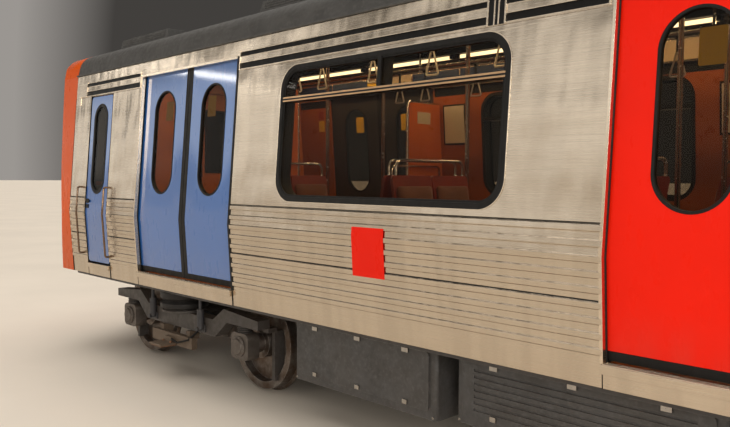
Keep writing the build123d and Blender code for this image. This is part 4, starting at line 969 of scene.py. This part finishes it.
class METRO_OT_window_trim(bpy.types.Operator):
    """Metal transoms, hopper catches, glazing lips and beads."""

    bl_idname = "metro.window_trim"
    bl_label = "Window Trim"

    def fill_side(self, bars, lips, beads):
        """One side's window trim."""
        height = WINDOW_HIGH - WINDOW_LOW
        for middle, width in WINDOWS:
            half = width / 2 - 0.034
            for heights in TRANSOM_LINES:
                block(bars, about(middle, half), (-0.0018, 0.012), heights)
            for catch in about(middle, half / 2):
                block(bars, about(catch, 0.04), (0.115, 0.135), (1.56, 1.575))
            opening = ((middle, (WINDOW_LOW + WINDOW_HIGH) / 2), (width, height), WINDOW_RADIUS)
            holed_plate(lips, grown(opening, -0.033), grown(opening, -0.05), (0.007, 0.0135))
            edge = (opening[0], (width + 0.001, height + 0.001), WINDOW_RADIUS)
            holed_plate(beads, grown(opening, 0.007), edge, (-0.0005, 0.0035))

    def execute(self, context):
        looks = {
            "window_bars": ("stainless", "bronze_trim", 0.0012),
            "window_lips": ("black_rubber", None, 0.0015),
            "window_beads": ("stainless", "steel_trim", 0.0012),
        }
        dress_sides(looks, self.fill_side)
        return {"FINISHED"}


class METRO_OT_cab_front(bpy.types.Operator):
    """Windscreen gasket, wipers, lamp bezels, a blank destination box, a band, grilles and handrails."""

    bl_idname = "metro.cab_front"
    bl_label = "Cab Front"

    def execute(self, context):
        looks = {
            "windscreen_gasket": ("black_rubber", None, 0.003),
            "wipers": ("frame_paint", "slot_dark"),
            "lamp_bezels": ("rail_steel", None, 0.003),
            "blank_destination_box": ("desk", None, 0.002),
            "front_band": ("stainless", "steel_trim", 0.002),
            "front_grilles": ("frame_paint", None, 0.002),
        }
        shapes = new_shapes(looks)
        gasket, wipers, bezels, box, band, grilles = shapes.values()
        holed_plate(gasket, grown(WINDSCREEN, 0.025), grown(WINDSCREEN, -0.035), (-0.006, 0.016))
        box_frame = (DESTINATION_BOX, (1.26, 0.2), 0.03), (DESTINATION_BOX, (1.18, 0.12), 0.02)
        holed_plate(gasket, *box_frame, (0.02, 0.05))
        pane(box, (DESTINATION_BOX, (1.2, 0.14), 0.02), (0.04, 0.05))
        for y in LAMPS:
            spot = (y, LAMP_LEVEL)
            holed_plate(bezels, disc(spot, 0.23), disc(spot, 0.165), (-0.012, 0.01))
            holed_plate(bezels, disc(spot, 0.06), disc(spot, 0.02), (-0.006, 0.006))
        rails = []
        for way in WAYS:
            rod(wipers, (way * 0.86, -0.03, 1.86), (-way * 0.44, 0.018, 0.66), 0.011, 0.008, 10)
            rod(wipers, (way * 0.86, 0, 1.86), (0, -0.045, 0), 0.028)
            rod(wipers, (way * 0.42, -0.008, 2.22), (0, 0, 0.6), 0.011, segments=8)
            for row in range(5):
                foot = 1.06 + row * 0.045
                block(grilles, about(way * 0.55, 0.22), (-0.004, 0.004), (foot, foot + 0.022))
            places = ((1.15, 0), (1.16, 0.05), (1.61, 0.05), (1.62, 0))
            rails.append([(nose_x(1.22, level) - reach, way * 1.22, level) for level, reach in places])
        block(band, (-1.28, 1.28), (-0.01, 0.004), (1.685, 1.7))
        for shape in shapes.values():
            on_nose(shape)
        dress("car_body", looks, shapes)
        joined("front_handrails", rails, 0.011, "car_body", "handrail")
        return {"FINISHED"}


class METRO_OT_handrails(bpy.types.Operator):
    """Round handrails beside the cab doors and round hoops on the seat backs."""

    bl_idname = "metro.handrails"
    bl_label = "Handrails"

    def execute(self, context):
        bend = ((0.1, 0.006), (0.1, -0.035), (0.104, -0.045), (0.115, -0.049), (KNEE, -0.049))
        bend += ((0.813, -0.049), (0.824, -0.045), (0.828, -0.035), (0.828, 0.002))
        rails = [
            [(x, side * wall_y(height, depth), FLOOR + height) for height, depth in bend]
            for side in WAYS for x in (-7.09, -6.44)
        ]
        joined("round_handrails", rails, 0.0105, "car_body", "handrail", replaced=("cab_handrails",))
        top, radius = BACK_TOP + 0.104, 0.05
        corner = arc_points((HOOP_HALF - radius, top - radius), radius, 0, 90)
        half_hoop = [(HOOP_HALF, BACK_TOP - 0.004), *corner]
        hoop = half_hoop + [(-across, height) for across, height in reversed(half_hoop)]
        hoops, collars = [], bmesh.new()
        for back_x, way in BENCHES:
            x = back_x + way * SHELL / 2
            for middle in (-BENCH_MIDDLE, BENCH_MIDDLE):
                hoops.append([(x, middle + across, height) for across, height in hoop])
                for y in about(middle, HOOP_HALF):
                    rod(collars, (x, y, BACK_TOP), (0, 0, 0.012), 0.0125, 0.0115, 12)
        joined("round_hoops", hoops, 0.011, "car_body", "rail_steel", replaced=("seat_hoops",), level=FLOOR)
        piece("hoop_collars", collars, "car_body", "rail_steel", level=FLOOR)
        return {"FINISHED"}


class METRO_OT_seats(bpy.types.Operator):
    """Stuffed cushions and back pads on the moulded shells."""

    bl_idname = "metro.seats"
    bl_label = "Seats"

    def execute(self, context):
        pan_slope = 0.02 / (0.44 - SHELL - BACK_LEAN)
        back_slope = BACK_LEAN / (BACK_TOP - SEAT_HEIGHT)
        reach, height = 0.29, 0.71
        pan_height = SEAT_HEIGHT + pan_slope * (reach - SHELL - BACK_LEAN)
        back_reach = SHELL + back_slope * (BACK_TOP - height)
        # Pads: name, pattern, place on the bench, way that they lie along, way that they face
        kinds = (
            ("cushions", stuffed(0.376, 0.274, 0.018, 0.012), (reach, pan_height), (1, pan_slope), -1),
            ("back_pads", stuffed(0.376, 0.374, 0.016, 0.010), (back_reach, height), (-back_slope, 1), 1),
        )
        for name, pattern, (step, rise), (run, slope), facing in kinds:
            pads = bmesh.new()
            for back_x, way in BENCHES:
                along = Vector((way * run, 0, slope)).normalized()
                out = Vector((0, 1, 0)).cross(along) * way * facing
                turn = Matrix((along.cross(out), along, out)).transposed().to_4x4()
                for y in (side * middle for side in WAYS for middle in PLACES):
                    origin = Vector((back_x + way * step, y, FLOOR + rise)) + 0.01 * out
                    copy = pattern.copy()
                    copy.transform(Matrix.Translation(origin) @ turn)
                    pads.from_mesh(copy)
                    bpy.data.meshes.remove(copy)
            bpy.data.meshes.remove(pattern)
            replaced = ("seat_pads",) if name == "cushions" else ()
            cushion = piece(f"seat_{name}", pads, "car_body", "seat_pad", replaced=replaced, smooth=80)
        return {"FINISHED"}


class METRO_OT_linings(bpy.types.Operator):
    """Ceiling, cove panels, cornices, poster frames and blank signs."""

    bl_idname = "metro.linings"
    bl_label = "Linings"

    def fill_side(self, beige, blue, frames, posters, signs, cornice, notices):
        """One side's panels, frames and signs."""
        coves = {"beige": beige, "blue": blue}
        for number in range(22):
            low = -6.38 + number * 0.65
            tone = COVE_TONES[number % len(COVE_TONES)]
            block(coves[tone], (low, low + 0.63), (0.1502, 0.1535), (1.895, 2.055))
        for middle in (bay + step for bay in BAYS for step in (-1.3975, 1.3975)):
            block(frames, about(middle, 0.1475), (0.12, 0.128), (1.289, 1.705))
            block(posters, about(middle, 0.1295), (0.127, 0.13), (1.307, 1.687))
        for name, centre in DOORWAYS:
            block(signs, about(centre, 0.12), (0.1502, 0.156), (1.9, 2.03))
        for span in CORNICES:
            block(cornice, span, (0.12, 0.1225), (1.797, 1.888))
        for span in PILLAR_SIGNS:
            block(signs, span, (0.12, 0.124), (1.51, 1.64))
            block(notices, span, (0.12, 0.124), (1.66, 1.76))

    def execute(self, context):
        ceiling = bmesh.new()
        last = len(CEILING) - 1
        bmesh.ops.create_grid(ceiling, x_segments=1, y_segments=last, size=1)
        for vertex in ceiling.verts:
            y, height = CEILING[round((vertex.co.y + 1) / 2 * last)]
            vertex.co = (-6.415 if vertex.co.x < 0 else END_WALL - 0.002, y, height)
        bmesh.ops.solidify(ceiling, geom=ceiling.faces[:], thickness=0.002)
        bmesh.ops.recalc_face_normals(ceiling, faces=ceiling.faces[:])
        piece("ceiling_panels", ceiling, "car_body", "roof_paint", "ceiling", smooth=20, level=FLOOR)

        looks = {
            "cove_panels_beige": ("lining", "cove_beige", 0.001),
            "cove_panels_blue": ("lining", "cove_blue", 0.001),
            "poster_frames": ("frame_paint", "slot_dark", 0.002),
            "blank_posters": ("lining", "poster", 0.0005),
            "blank_signs": ("lining", "sign_yellow", 0.001),
            "cornice": ("lining", "slot_dark", 0.001),
            "blank_notices": ("lining", "seat_shell", 0.001),
        }
        dress_sides(looks, self.fill_side)
        return {"FINISHED"}


class METRO_OT_saloon_lights(bpy.types.Operator):
    """Two rows of light tubes in their housings."""

    bl_idname = "metro.saloon_lights"
    bl_label = "Saloon Lights"

    def execute(self, context):
        looks = {
            "light_tubes": ("light_cover", None, 0.0, ("ceiling_lights",)),
            "light_housings": ("frame_paint", "slot_dark", 0.004),
        }
        shapes = new_shapes(looks)
        tubes, housings = shapes.values()
        for y in (-LIGHT_Y, LIGHT_Y):
            block(housings, (-6.195, 7.795), about(y, 0.055), (2.15, 2.225))
            for number in range(11):
                low = -6.15 + number * 1.27
                rod(tubes, (low, y, LIGHT_HEIGHT), (1.18, 0, 0), 0.0175)
                for x in (low, low + 1.18):
                    block(housings, about(x, 0.02), about(y, 0.022), (2.112, 2.16))
        dress("car_body", looks, shapes, level=FLOOR)
        return {"FINISHED"}


class METRO_OT_straps(bpy.types.Operator):
    """Strap rails with their hangers, bands and rigid grips."""

    bl_idname = "metro.straps"
    bl_label = "Straps"

    def execute(self, context):
        rails, grips, bands = [], [], bmesh.new()
        rail_y, rail_height = STRAP_RAIL
        outline = [*GRIP, *((-across, rise) for across, rise in reversed(GRIP))]
        for y in (-rail_y, rail_y):
            rails.append([(-5.72, y, rail_height), (7.2, y, rail_height)])
            for bay in BAYS:
                for x in (bay + step for step in STRAP_STEPS):
                    block(bands, about(x, 0.012), about(y, 0.003), (1.86, 1.98))
                    rod(bands, (x - 0.016, y, rail_height), (0.032, 0, 0), 0.017, segments=12)
                    grips.append([(x + across, y, 1.70 + rise) for across, rise in outline])
                for x in (bay - 1.4, bay, bay + 1.4):
                    rails.append([(x, y, rail_height), (x, y, 2.286)])
        joined("strap_rails", rails, 0.012, "car_body", "rail_steel", level=FLOOR)
        joined("strap_grips", grips, 0.0075, "car_body", "light_cover", "grip", level=FLOOR)
        piece("strap_bands", bands, "car_body", "black_rubber", bevel=0.001, level=FLOOR)
        return {"FINISHED"}


class METRO_OT_screens(bpy.types.Operator):
    """Rounded posts and blank plates on the screens beside the doors."""

    bl_idname = "metro.screens"
    bl_label = "Screens"

    def execute(self, context):
        posts, plates = [], bmesh.new()
        line = [(0.705, 0.002), *arc_points((0.755, 1.668), 0.05, 180, 90, 7), (1.17, 1.718)]
        for x in SCREENS:
            for side in WAYS:
                posts.append([(x + 0.0125, side * y, height) for y, height in line])
                block(plates, (x - 0.002, x + 0.027), (side * 0.84, side * 1.04), (1.5, 1.62))
        joined("screen_posts", posts, 0.014, "car_body", "rail_steel", level=FLOOR)
        piece("blank_screen_plates", plates, "car_body", "lining", "poster", bevel=0.001, level=FLOOR)
        return {"FINISHED"}


class METRO_OT_roof_trim(bpy.types.Operator):
    """Roof seams, hood louvres, a conduit and a low aerial."""

    bl_idname = "metro.roof_trim"
    bl_label = "Roof Trim"

    def execute(self, context):
        seams = bmesh.new()
        for number in range(10):
            block(seams, about(-7.0 + number * 1.62, 0.02), (-1.08, 1.08), (-0.001, 0.005))
        cuts(seams, 1, -1.05, 1.05, 0.15)
        for vertex in seams.verts:
            vertex.co.z = min(vertex.co.z + roof_z(vertex.co.y), roof_z(0))
        for slat in range(3):
            foot = FLOOR + 2.425 + slat * 0.022
            for y in about(0, 0.875 - slat * 0.005):
                for hood in HOODS:
                    block(seams, about(hood, 0.47), about(y, 0.009), (foot, foot + 0.009))
        piece("roof_seams", seams, "car_body", "roof_paint", bevel=0.0015)
        conduit = bmesh.new()
        spun(conduit, AERIAL, (-7.2, -0.55, roof_z(0.55) - 0.012), (0, 0, 1))
        rod(conduit, (-6.8, 0.28, roof_z(0.28) - 0.004), (14.4, 0, 0), 0.014, segments=10)
        piece("roof_conduit", conduit, "car_body", "frame_paint")
        return {"FINISHED"}


class METRO_OT_running_gear(bpy.types.Operator):
    """Bogie detail: axle covers, spring plates, dampers, brake shoes, contact shoes, guards and pipes."""

    bl_idname = "metro.running_gear"
    bl_label = "Running Gear"

    def axle_cover(self, bm, hub, side):
        """A turned cover with a ring of bolts."""
        spun(bm, AXLE_COVER, hub, (0, side, 0), 28)
        for bolt in range(8):
            angle = bolt * math.pi / 4 + 0.39
            place = hub + 0.081 * Vector((math.cos(angle), 0, math.sin(angle)))
            rod(bm, place, (0, side * 0.022, 0), 0.0085, segments=6)

    def brake_shoe(self, bm, axle, end, y):
        """A shoe bent round the tread of a wheel."""
        shoe = bmesh.new()
        block(shoe, (0.435, 0.466), about(y, 0.036), (-0.15, 0.15))
        cuts(shoe, 2, -0.12, 0.12, 0.03)
        for vertex in shoe.verts:
            radius, across, height = vertex.co
            angle = height / 0.45
            vertex.co = (axle - end * radius * math.cos(angle), across, AXLE_LEVEL + radius * math.sin(angle))
        bmesh.ops.recalc_face_normals(shoe, faces=shoe.faces[:])
        add_shape(bm, shoe)

    def damper(self, bm, x, side):
        """An upright damper between two eyes, on a bracket."""
        rod(bm, (x, side * 1.1, 0.53), (0, 0, 0.19), 0.034, segments=18)
        rod(bm, (x, side * 1.1, 0.7), (0, 0, 0.145), 0.016, segments=12)
        for level in (0.535, 0.84):
            rod(bm, (x, side * 1.04, level), (0, side * 0.11, 0), 0.022, segments=12)
        block(bm, about(x, 0.04), about(side * 1.06, 0.02), (0.5, 0.57))

    def execute(self, context):
        looks = {
            "axle_covers": ("cast_steel", None, 0.0015),
            "spring_plates": ("bogie_paint", None, 0.002),
            "dampers": ("motor_paint", None, 0.002),
            "brake_shoes": ("cast_steel", None, 0.002),
            "contact_shoes": ("wheel_steel", "copper", 0.002),
        }
        for name, x in BOGIES:
            shapes = new_shapes(looks)
            covers, plates, dampers, shoes, contacts = shapes.values()
            pipes = []
            for side in WAYS:
                wheel_y, guard_y = side * WHEEL_Y, side * 0.79
                for end in WAYS:
                    axle, guard = x + end * AXLE_STEP, x + end * 1.27
                    self.axle_cover(covers, Vector((axle, side * (BEAM_Y + 0.065), AXLE_LEVEL)), side)
                    for layer in range(4):
                        foot = (axle, side * BEAM_Y, 0.577 + layer * 0.0165)
                        rod(plates, foot, (0, 0, 0.006), 0.076, segments=24)
                    block(plates, about(guard, 0.02), about(guard_y, 0.06), (0.15, 0.6))
                    block(plates, (guard - 0.02, guard + 0.06), (guard_y - 0.06, side * 0.95), (0.6, 0.64))
                    self.brake_shoe(shoes, axle, end, wheel_y)
                    rod(shoes, (x + end * 0.36, wheel_y, 0.47), (end * 0.14, 0, 0), 0.062, segments=20)
                    pipes.append([(x + end * along, side * out, level) for along, out, level in BRAKE_PIPE])
                    self.damper(dampers, x + end * 0.46, side)
                for level in (0.662, 0.855):
                    rod(plates, (x, side * BEAM_Y, level), (0, 0, 0.012), 0.2, segments=36)
                block(contacts, about(x, 0.105), about(side * 1.24, 0.08), (0.325, 0.333))
                for step in (-0.07, 0.07):
                    rod(contacts, (x + step, side * 1.2, 0.35), (0, 0, 0.016), 0.011, segments=6)
                pipes.append([(x + along, side * out, level) for along, out, level in CONTACT_CABLE])
            body = f"bogie_{name}"
            dress(body, looks, shapes, "{}_" + name)
            joined(f"brake_pipes_{name}", pipes, 0.0095, body, "spring_rubber", "black_rubber")
        return {"FINISHED"}


class METRO_OT_underfloor(bpy.types.Operator):
    """Latches and hinges on the equipment cases, tank seams, valves and long pipes."""

    bl_idname = "metro.underfloor"
    bl_label = "Underfloor"

    def execute(self, context):
        fittings = bmesh.new()
        for x, y, length, width, depth in CASES:
            way = 1 if y > 0 else -1
            face = y + way * (width / 2 + 0.016)
            across = (face - way * 0.006, face + way * 0.012)
            for step in (-0.32, 0, 0.32):
                for drop, half in ((0.075, 0.03), (depth - 0.085, 0.022)):
                    heights = about(UNDERFRAME_FOOT - drop, 0.016)
                    block(fittings, about(x + step * length, half), across, heights)
            for corner_x in about(x, length / 2 - 0.028):
                for rise in (0.02, depth - 0.02):
                    spot = (corner_x, y + way * (width / 2 - 0.002), UNDERFRAME_FOOT - rise)
                    rod(fittings, spot, (0, way * 0.008, 0), 0.009, segments=6)
        for y in TANKS:
            for step in (-0.43, -0.37, 0.37, 0.43):
                rod(fittings, (TANK_X + step - 0.004, y, TANK_LEVEL), (0.008, 0, 0), 0.1725, segments=40)
            rod(fittings, (TANK_X, y, 0.5), (0, 0, -0.03), 0.014, segments=10)
        piece("case_fittings", fittings, "car_body", "rail_steel", "steel_dull", bevel=0.0015)
        straight = ((-0.08, 0.83), (-0.03, 0.83), (0.04, 0.835))
        pipes = [[(-4.6, y, level), (4.6, y, level)] for y, level in straight]
        near, far = ((2.3, y, TANK_LEVEL) for y in TANKS)
        pipes.append([near, (2.22, 0.48, 0.668), (2.18, 0.46, 0.7), (2.18, 0.2, 0.82), (2.18, 0.06, 0.833)])
        pipes.append([far, (2.2, 0.88, 0.668), (2.12, 0.85, 0.72), (2.12, 0.3, 0.82), (2.12, 0.06, 0.833)])
        joined("long_pipes", pipes, 0.014, "car_body", "frame_paint")
        return {"FINISHED"}


class METRO_OT_couplers(bpy.types.Operator):
    """Coupling bolts, collars, hoses and an electrical box."""

    bl_idname = "metro.couplers"
    bl_label = "Couplers"

    def execute(self, context):
        head = bmesh.new()
        block(head, (-8.27, -8.1), (-0.17, 0.17), (-0.235, -0.17))
        for y in (-0.16, 0.16):
            for rise in (-0.13, 0.13):
                rod(head, (-8.286, y, rise), (0.016, 0, 0), 0.014, segments=6)
        rod(head, (-7.6, 0.09, 0.075), (-0.5, 0, 0), 0.022, segments=12)
        piece("front_coupler_fittings", head, "front_coupler", "cast_steel", bevel=0.003, level=COUPLER_LEVEL)
        hoses = [[(x, y * spread, level) for x, spread, level in HOSE] for y in (-0.13, 0.13)]
        joined("front_hoses", hoses, 0.016, "front_coupler", "black_rubber")
        rings = bmesh.new()
        for x in (7.62, 7.78):
            rod(rings, (x, 0, 0), (0.03, 0, 0), 0.075, segments=28)
        for number in range(6):
            angle = number * math.pi / 3
            place = (8.292, 0.09 * math.cos(angle), 0.09 * math.sin(angle))
            rod(rings, place, (0.012, 0, 0), 0.021, segments=6)
        piece("rear_coupler_fittings", rings, "rear_coupler", "cast_steel", bevel=0.002, level=COUPLER_LEVEL)
        return {"FINISHED"}


class METRO_OT_rear_end(bpy.types.Operator):
    """Gangway seal, step, kick plates, tail lamps and end grips."""

    bl_idname = "metro.rear_end"
    bl_label = "Rear End"

    def execute(self, context):
        looks = {
            "gangway_seal": ("black_rubber", None, 0.012),
            "end_fittings": ("stainless", "steel_trim", 0.002),
            "tail_lamps": ("lamp_lens", "tail_lens"),
        }
        shapes = new_shapes(looks)
        seal, fittings, tails = shapes.values()
        seal_depth = (END_FACE, 8.075)
        for way in WAYS:
            block(seal, seal_depth, (way * 0.335, way * 0.41), (-0.02, 1.98))
        block(seal, seal_depth, (-0.41, 0.41), (1.905, 1.98))
        block(fittings, (END_FACE, 8.1), (-0.36, 0.36), (-0.06, -0.03))
        for y in (-0.95, 0.95):
            spun(fittings, LAMP_RIM, (8.038, y, 1.7), (1, 0, 0))
            spun(tails, LAMP_DOME, (8.052, y, 1.7), (1, 0, 0))
            block(fittings, (END_FACE, 8.045), about(y, 0.16), (0.25, 0.75))
        dress("car_body", looks, shapes, level=FLOOR)
        hold = ((8.03, 0.85), (8.085, 0.86), (8.085, 1.54), (8.03, 1.55))
        grips = [[(x, y, height) for x, height in hold] for y in (-0.62, 0.62)]
        joined("end_grips", grips, 0.012, "car_body", "handrail", level=FLOOR)
        return {"FINISHED"}


class METRO_OT_end_doors(bpy.types.Operator):
    """Kick plates, push plates and dark panes with rubbers, on both faces of the end and partition doors."""

    bl_idname = "metro.end_doors"
    bl_label = "End Doors"

    def execute(self, context):
        looks = {
            "plates": ("rail_steel", "steel_dull", 0.001),
            "window_rubber": ("black_rubber", None, 0.003),
            "window": ("glass", "dark_glass"),
        }
        for node, faces in (("partition_door", (-6.456, -6.42)), ("end_door", (7.96, 7.996))):
            shapes = new_shapes(looks)
            plates, rubbers, window = shapes.values()
            for face, way in zip(faces, WAYS):
                plate, glass, rubber_lip = ((face, face + way * proud) for proud in (0.004, 0.003, 0.008))
                block(plates, plate, (-0.3, 0.28), (0.03, 0.23))
                block(plates, plate, (-0.3, -0.255), (0.94, 1.1))
                block(window, glass, (-0.217, 0.217), (0.993, 1.707))
                for height in (0.995, 1.705):
                    block(rubbers, rubber_lip, (-0.222, 0.222), about(height, 0.007))
                for y in (-0.217, 0.217):
                    block(rubbers, rubber_lip, about(y, 0.006), (0.99, 1.71))
            dress(node, looks, shapes, node + "_{}", FLOOR)
        return {"FINISHED"}


class METRO_OT_desk(bpy.types.Operator):
    """Blank panels, buttons and a lever on the driver's desk."""

    bl_idname = "metro.desk"
    bl_label = "Driver's Desk"

    def execute(self, context):
        controls = bmesh.new()
        for y, width in ((-0.5, 0.3), (0.0, 0.36), (0.52, 0.3)):
            block(controls, (-0.055, 0.055), about(y, width / 2), (-0.004, 0.012))
        for number in range(8):
            rod(controls, (0, -0.62 + number * 0.04, 0.01), (0, 0, 0.012), 0.009, segments=12)
        place = Matrix.Translation((-7.41, 0, 0.768)) @ Matrix.Rotation(math.atan2(0.05, 0.14), 4, "Y")
        bmesh.ops.transform(controls, matrix=place, verts=controls.verts[:])
        rod(controls, (-7.41, 0.3, 0.76), (0.01, 0, 0.11), 0.011, segments=12)
        spun(controls, LEVER_KNOB, (-7.4, 0.3, 0.865), (0, 0, 1), 18)
        piece("desk_controls", controls, "car_body", "frame_paint", bevel=0.0015, level=FLOOR)
        return {"FINISHED"}


class METRO_OT_stage(bpy.types.Operator):
    """Pale floor, soft sky, soft lamps and the camera."""

    bl_idname = "metro.stage"
    bl_label = "Stage"

    def lay_floor(self):
        """A wide pale floor."""
        bm = bmesh.new()
        bmesh.ops.create_grid(bm, x_segments=1, y_segments=1, size=400)
        mesh = bpy.data.meshes.new("studio floor")
        bm.to_mesh(mesh)
        bm.free()
        ground = linked("studio floor", mesh)
        pale = Surface("pale floor", (0.78, 0.70, 0.60), 0.9, Specular_IOR_Level=0.1)
        mesh.materials.append(pale.vary(0.4, 0.94).material)

    def light_sky(self, scene):
        """A long bright wall beside the car under a dark ceiling, dim past the cab, with a bright zenith."""
        scene.world = bpy.data.worlds.new("soft sky")
        scene.world.use_nodes = True
        sky = Graph(scene.world.node_tree)
        direction = sky.node("TexCoord").outputs["Generated"]
        x, y, z = (sky.axis(direction, name) for name in "XYZ")
        beside = sky.maths("MAXIMUM", sky.maths("ABSOLUTE", y), 0.25)
        wall = sky.node("ValToRGB", Fac=sky.maths("DIVIDE", z, beside))
        while len(wall.color_ramp.elements) < len(WALL_STOPS):
            wall.color_ramp.elements.new(0.5)
        for element, (place, colour) in zip(wall.color_ramp.elements, WALL_STOPS):
            element.position = place
            element.color = (*colour, 1)
        behind = sky.blend(sky.ramp(y, 0.32, 0.42), (0.24, 0.225, 0.21), (0.04, 0.037, 0.034))
        past_cab = sky.maths("MULTIPLY", sky.ramp(y, -0.2, 0.1), sky.ramp(x, 0.15, -0.05))
        around = sky.blend(past_cab, wall.outputs[0], behind)
        whole = sky.blend(sky.ramp(z, 0.7, 0.8), around, (1.5, 1.44, 1.36))
        strength = 1.35 * scene.metro_stage.light
        sky.set(scene.world.node_tree.nodes["Background"], Color=whole, Strength=strength)

    def hang_lamps(self):
        """Soft lamps beside the car and under its ceiling."""
        for name, place, aim, width, height, power, colour in STUDIO_LAMPS:
            light = bpy.data.lights.new(name, "AREA")
            light.shape = "RECTANGLE"
            light.size, light.size_y = width, height
            light.energy = power
            light.color = colour
            lamp = linked(name, light)
            lamp.location = place
            lamp.rotation_euler = (Vector(aim) - Vector(place)).to_track_quat("-Z", "Y").to_euler()

    def place_camera(self, scene):
        """The photograph's camera."""
        settings = scene.metro_stage
        camera = linked("camera", bpy.data.cameras.new("camera"))
        camera.data.sensor_width = 36
        camera.data.lens = settings.lens
        camera.data.clip_start = 0.05
        camera.data.clip_end = 500
        yaw, pitch = settings.yaw, settings.pitch
        level_way = Vector((-math.cos(yaw), math.sin(yaw), 0))
        forward = math.cos(pitch) * level_way - math.sin(pitch) * Vector((0, 0, 1))
        across = forward.cross(Vector((0, 0, 1))).normalized()
        right = math.cos(settings.roll) * across + math.sin(settings.roll) * across.cross(forward)
        turn = Matrix((right, right.cross(forward), -forward)).transposed()
        camera.matrix_world = Matrix.Translation(settings.place) @ turn.to_4x4()
        scene.camera = camera

    def execute(self, context):
        context.scene.view_settings.view_transform = "Standard"
        self.lay_floor()
        self.light_sky(context.scene)
        self.hang_lamps()
        self.place_camera(context.scene)
        return {"FINISHED"}


class METRO_PT_build(bpy.types.Panel):
    """Lists the car's groups of pieces in build order."""

    bl_idname = "METRO_PT_build"
    bl_label = "Metro Motor Car"
    bl_space_type = "VIEW_3D"
    bl_region_type = "UI"
    bl_category = "Metro Car"

    def draw(self, context):
        for operator in OPERATORS:
            self.layout.operator(operator.bl_idname)


OPERATORS = (
    METRO_OT_shell,
    METRO_OT_door_leaves,
    METRO_OT_cab_doors,
    METRO_OT_side_trim,
    METRO_OT_window_trim,
    METRO_OT_cab_front,
    METRO_OT_handrails,
    METRO_OT_seats,
    METRO_OT_linings,
    METRO_OT_saloon_lights,
    METRO_OT_straps,
    METRO_OT_screens,
    METRO_OT_roof_trim,
    METRO_OT_running_gear,
    METRO_OT_underfloor,
    METRO_OT_couplers,
    METRO_OT_rear_end,
    METRO_OT_end_doors,
    METRO_OT_desk,
    METRO_OT_stage,
)
GROUPS = (("metro_paint", METRO_PG_paint), ("metro_sizes", METRO_PG_sizes), ("metro_stage", METRO_PG_stage))


def register():
    for name, group in GROUPS:
        bpy.utils.register_class(group)
        setattr(bpy.types.Scene, name, PointerProperty(type=group))
    for entry in (*OPERATORS, METRO_PT_build):
        bpy.utils.register_class(entry)


def unregister():
    for entry in reversed((*OPERATORS, METRO_PT_build)):
        bpy.utils.unregister_class(entry)
    for name, group in reversed(GROUPS):
        delattr(bpy.types.Scene, name)
        bpy.utils.unregister_class(group)


def main():
    register()
    make_finishes()
    for operator in OPERATORS:
        group, name = operator.bl_idname.split(".")
        getattr(getattr(bpy.ops, group), name)()


if __name__ == "__main__":
    main()
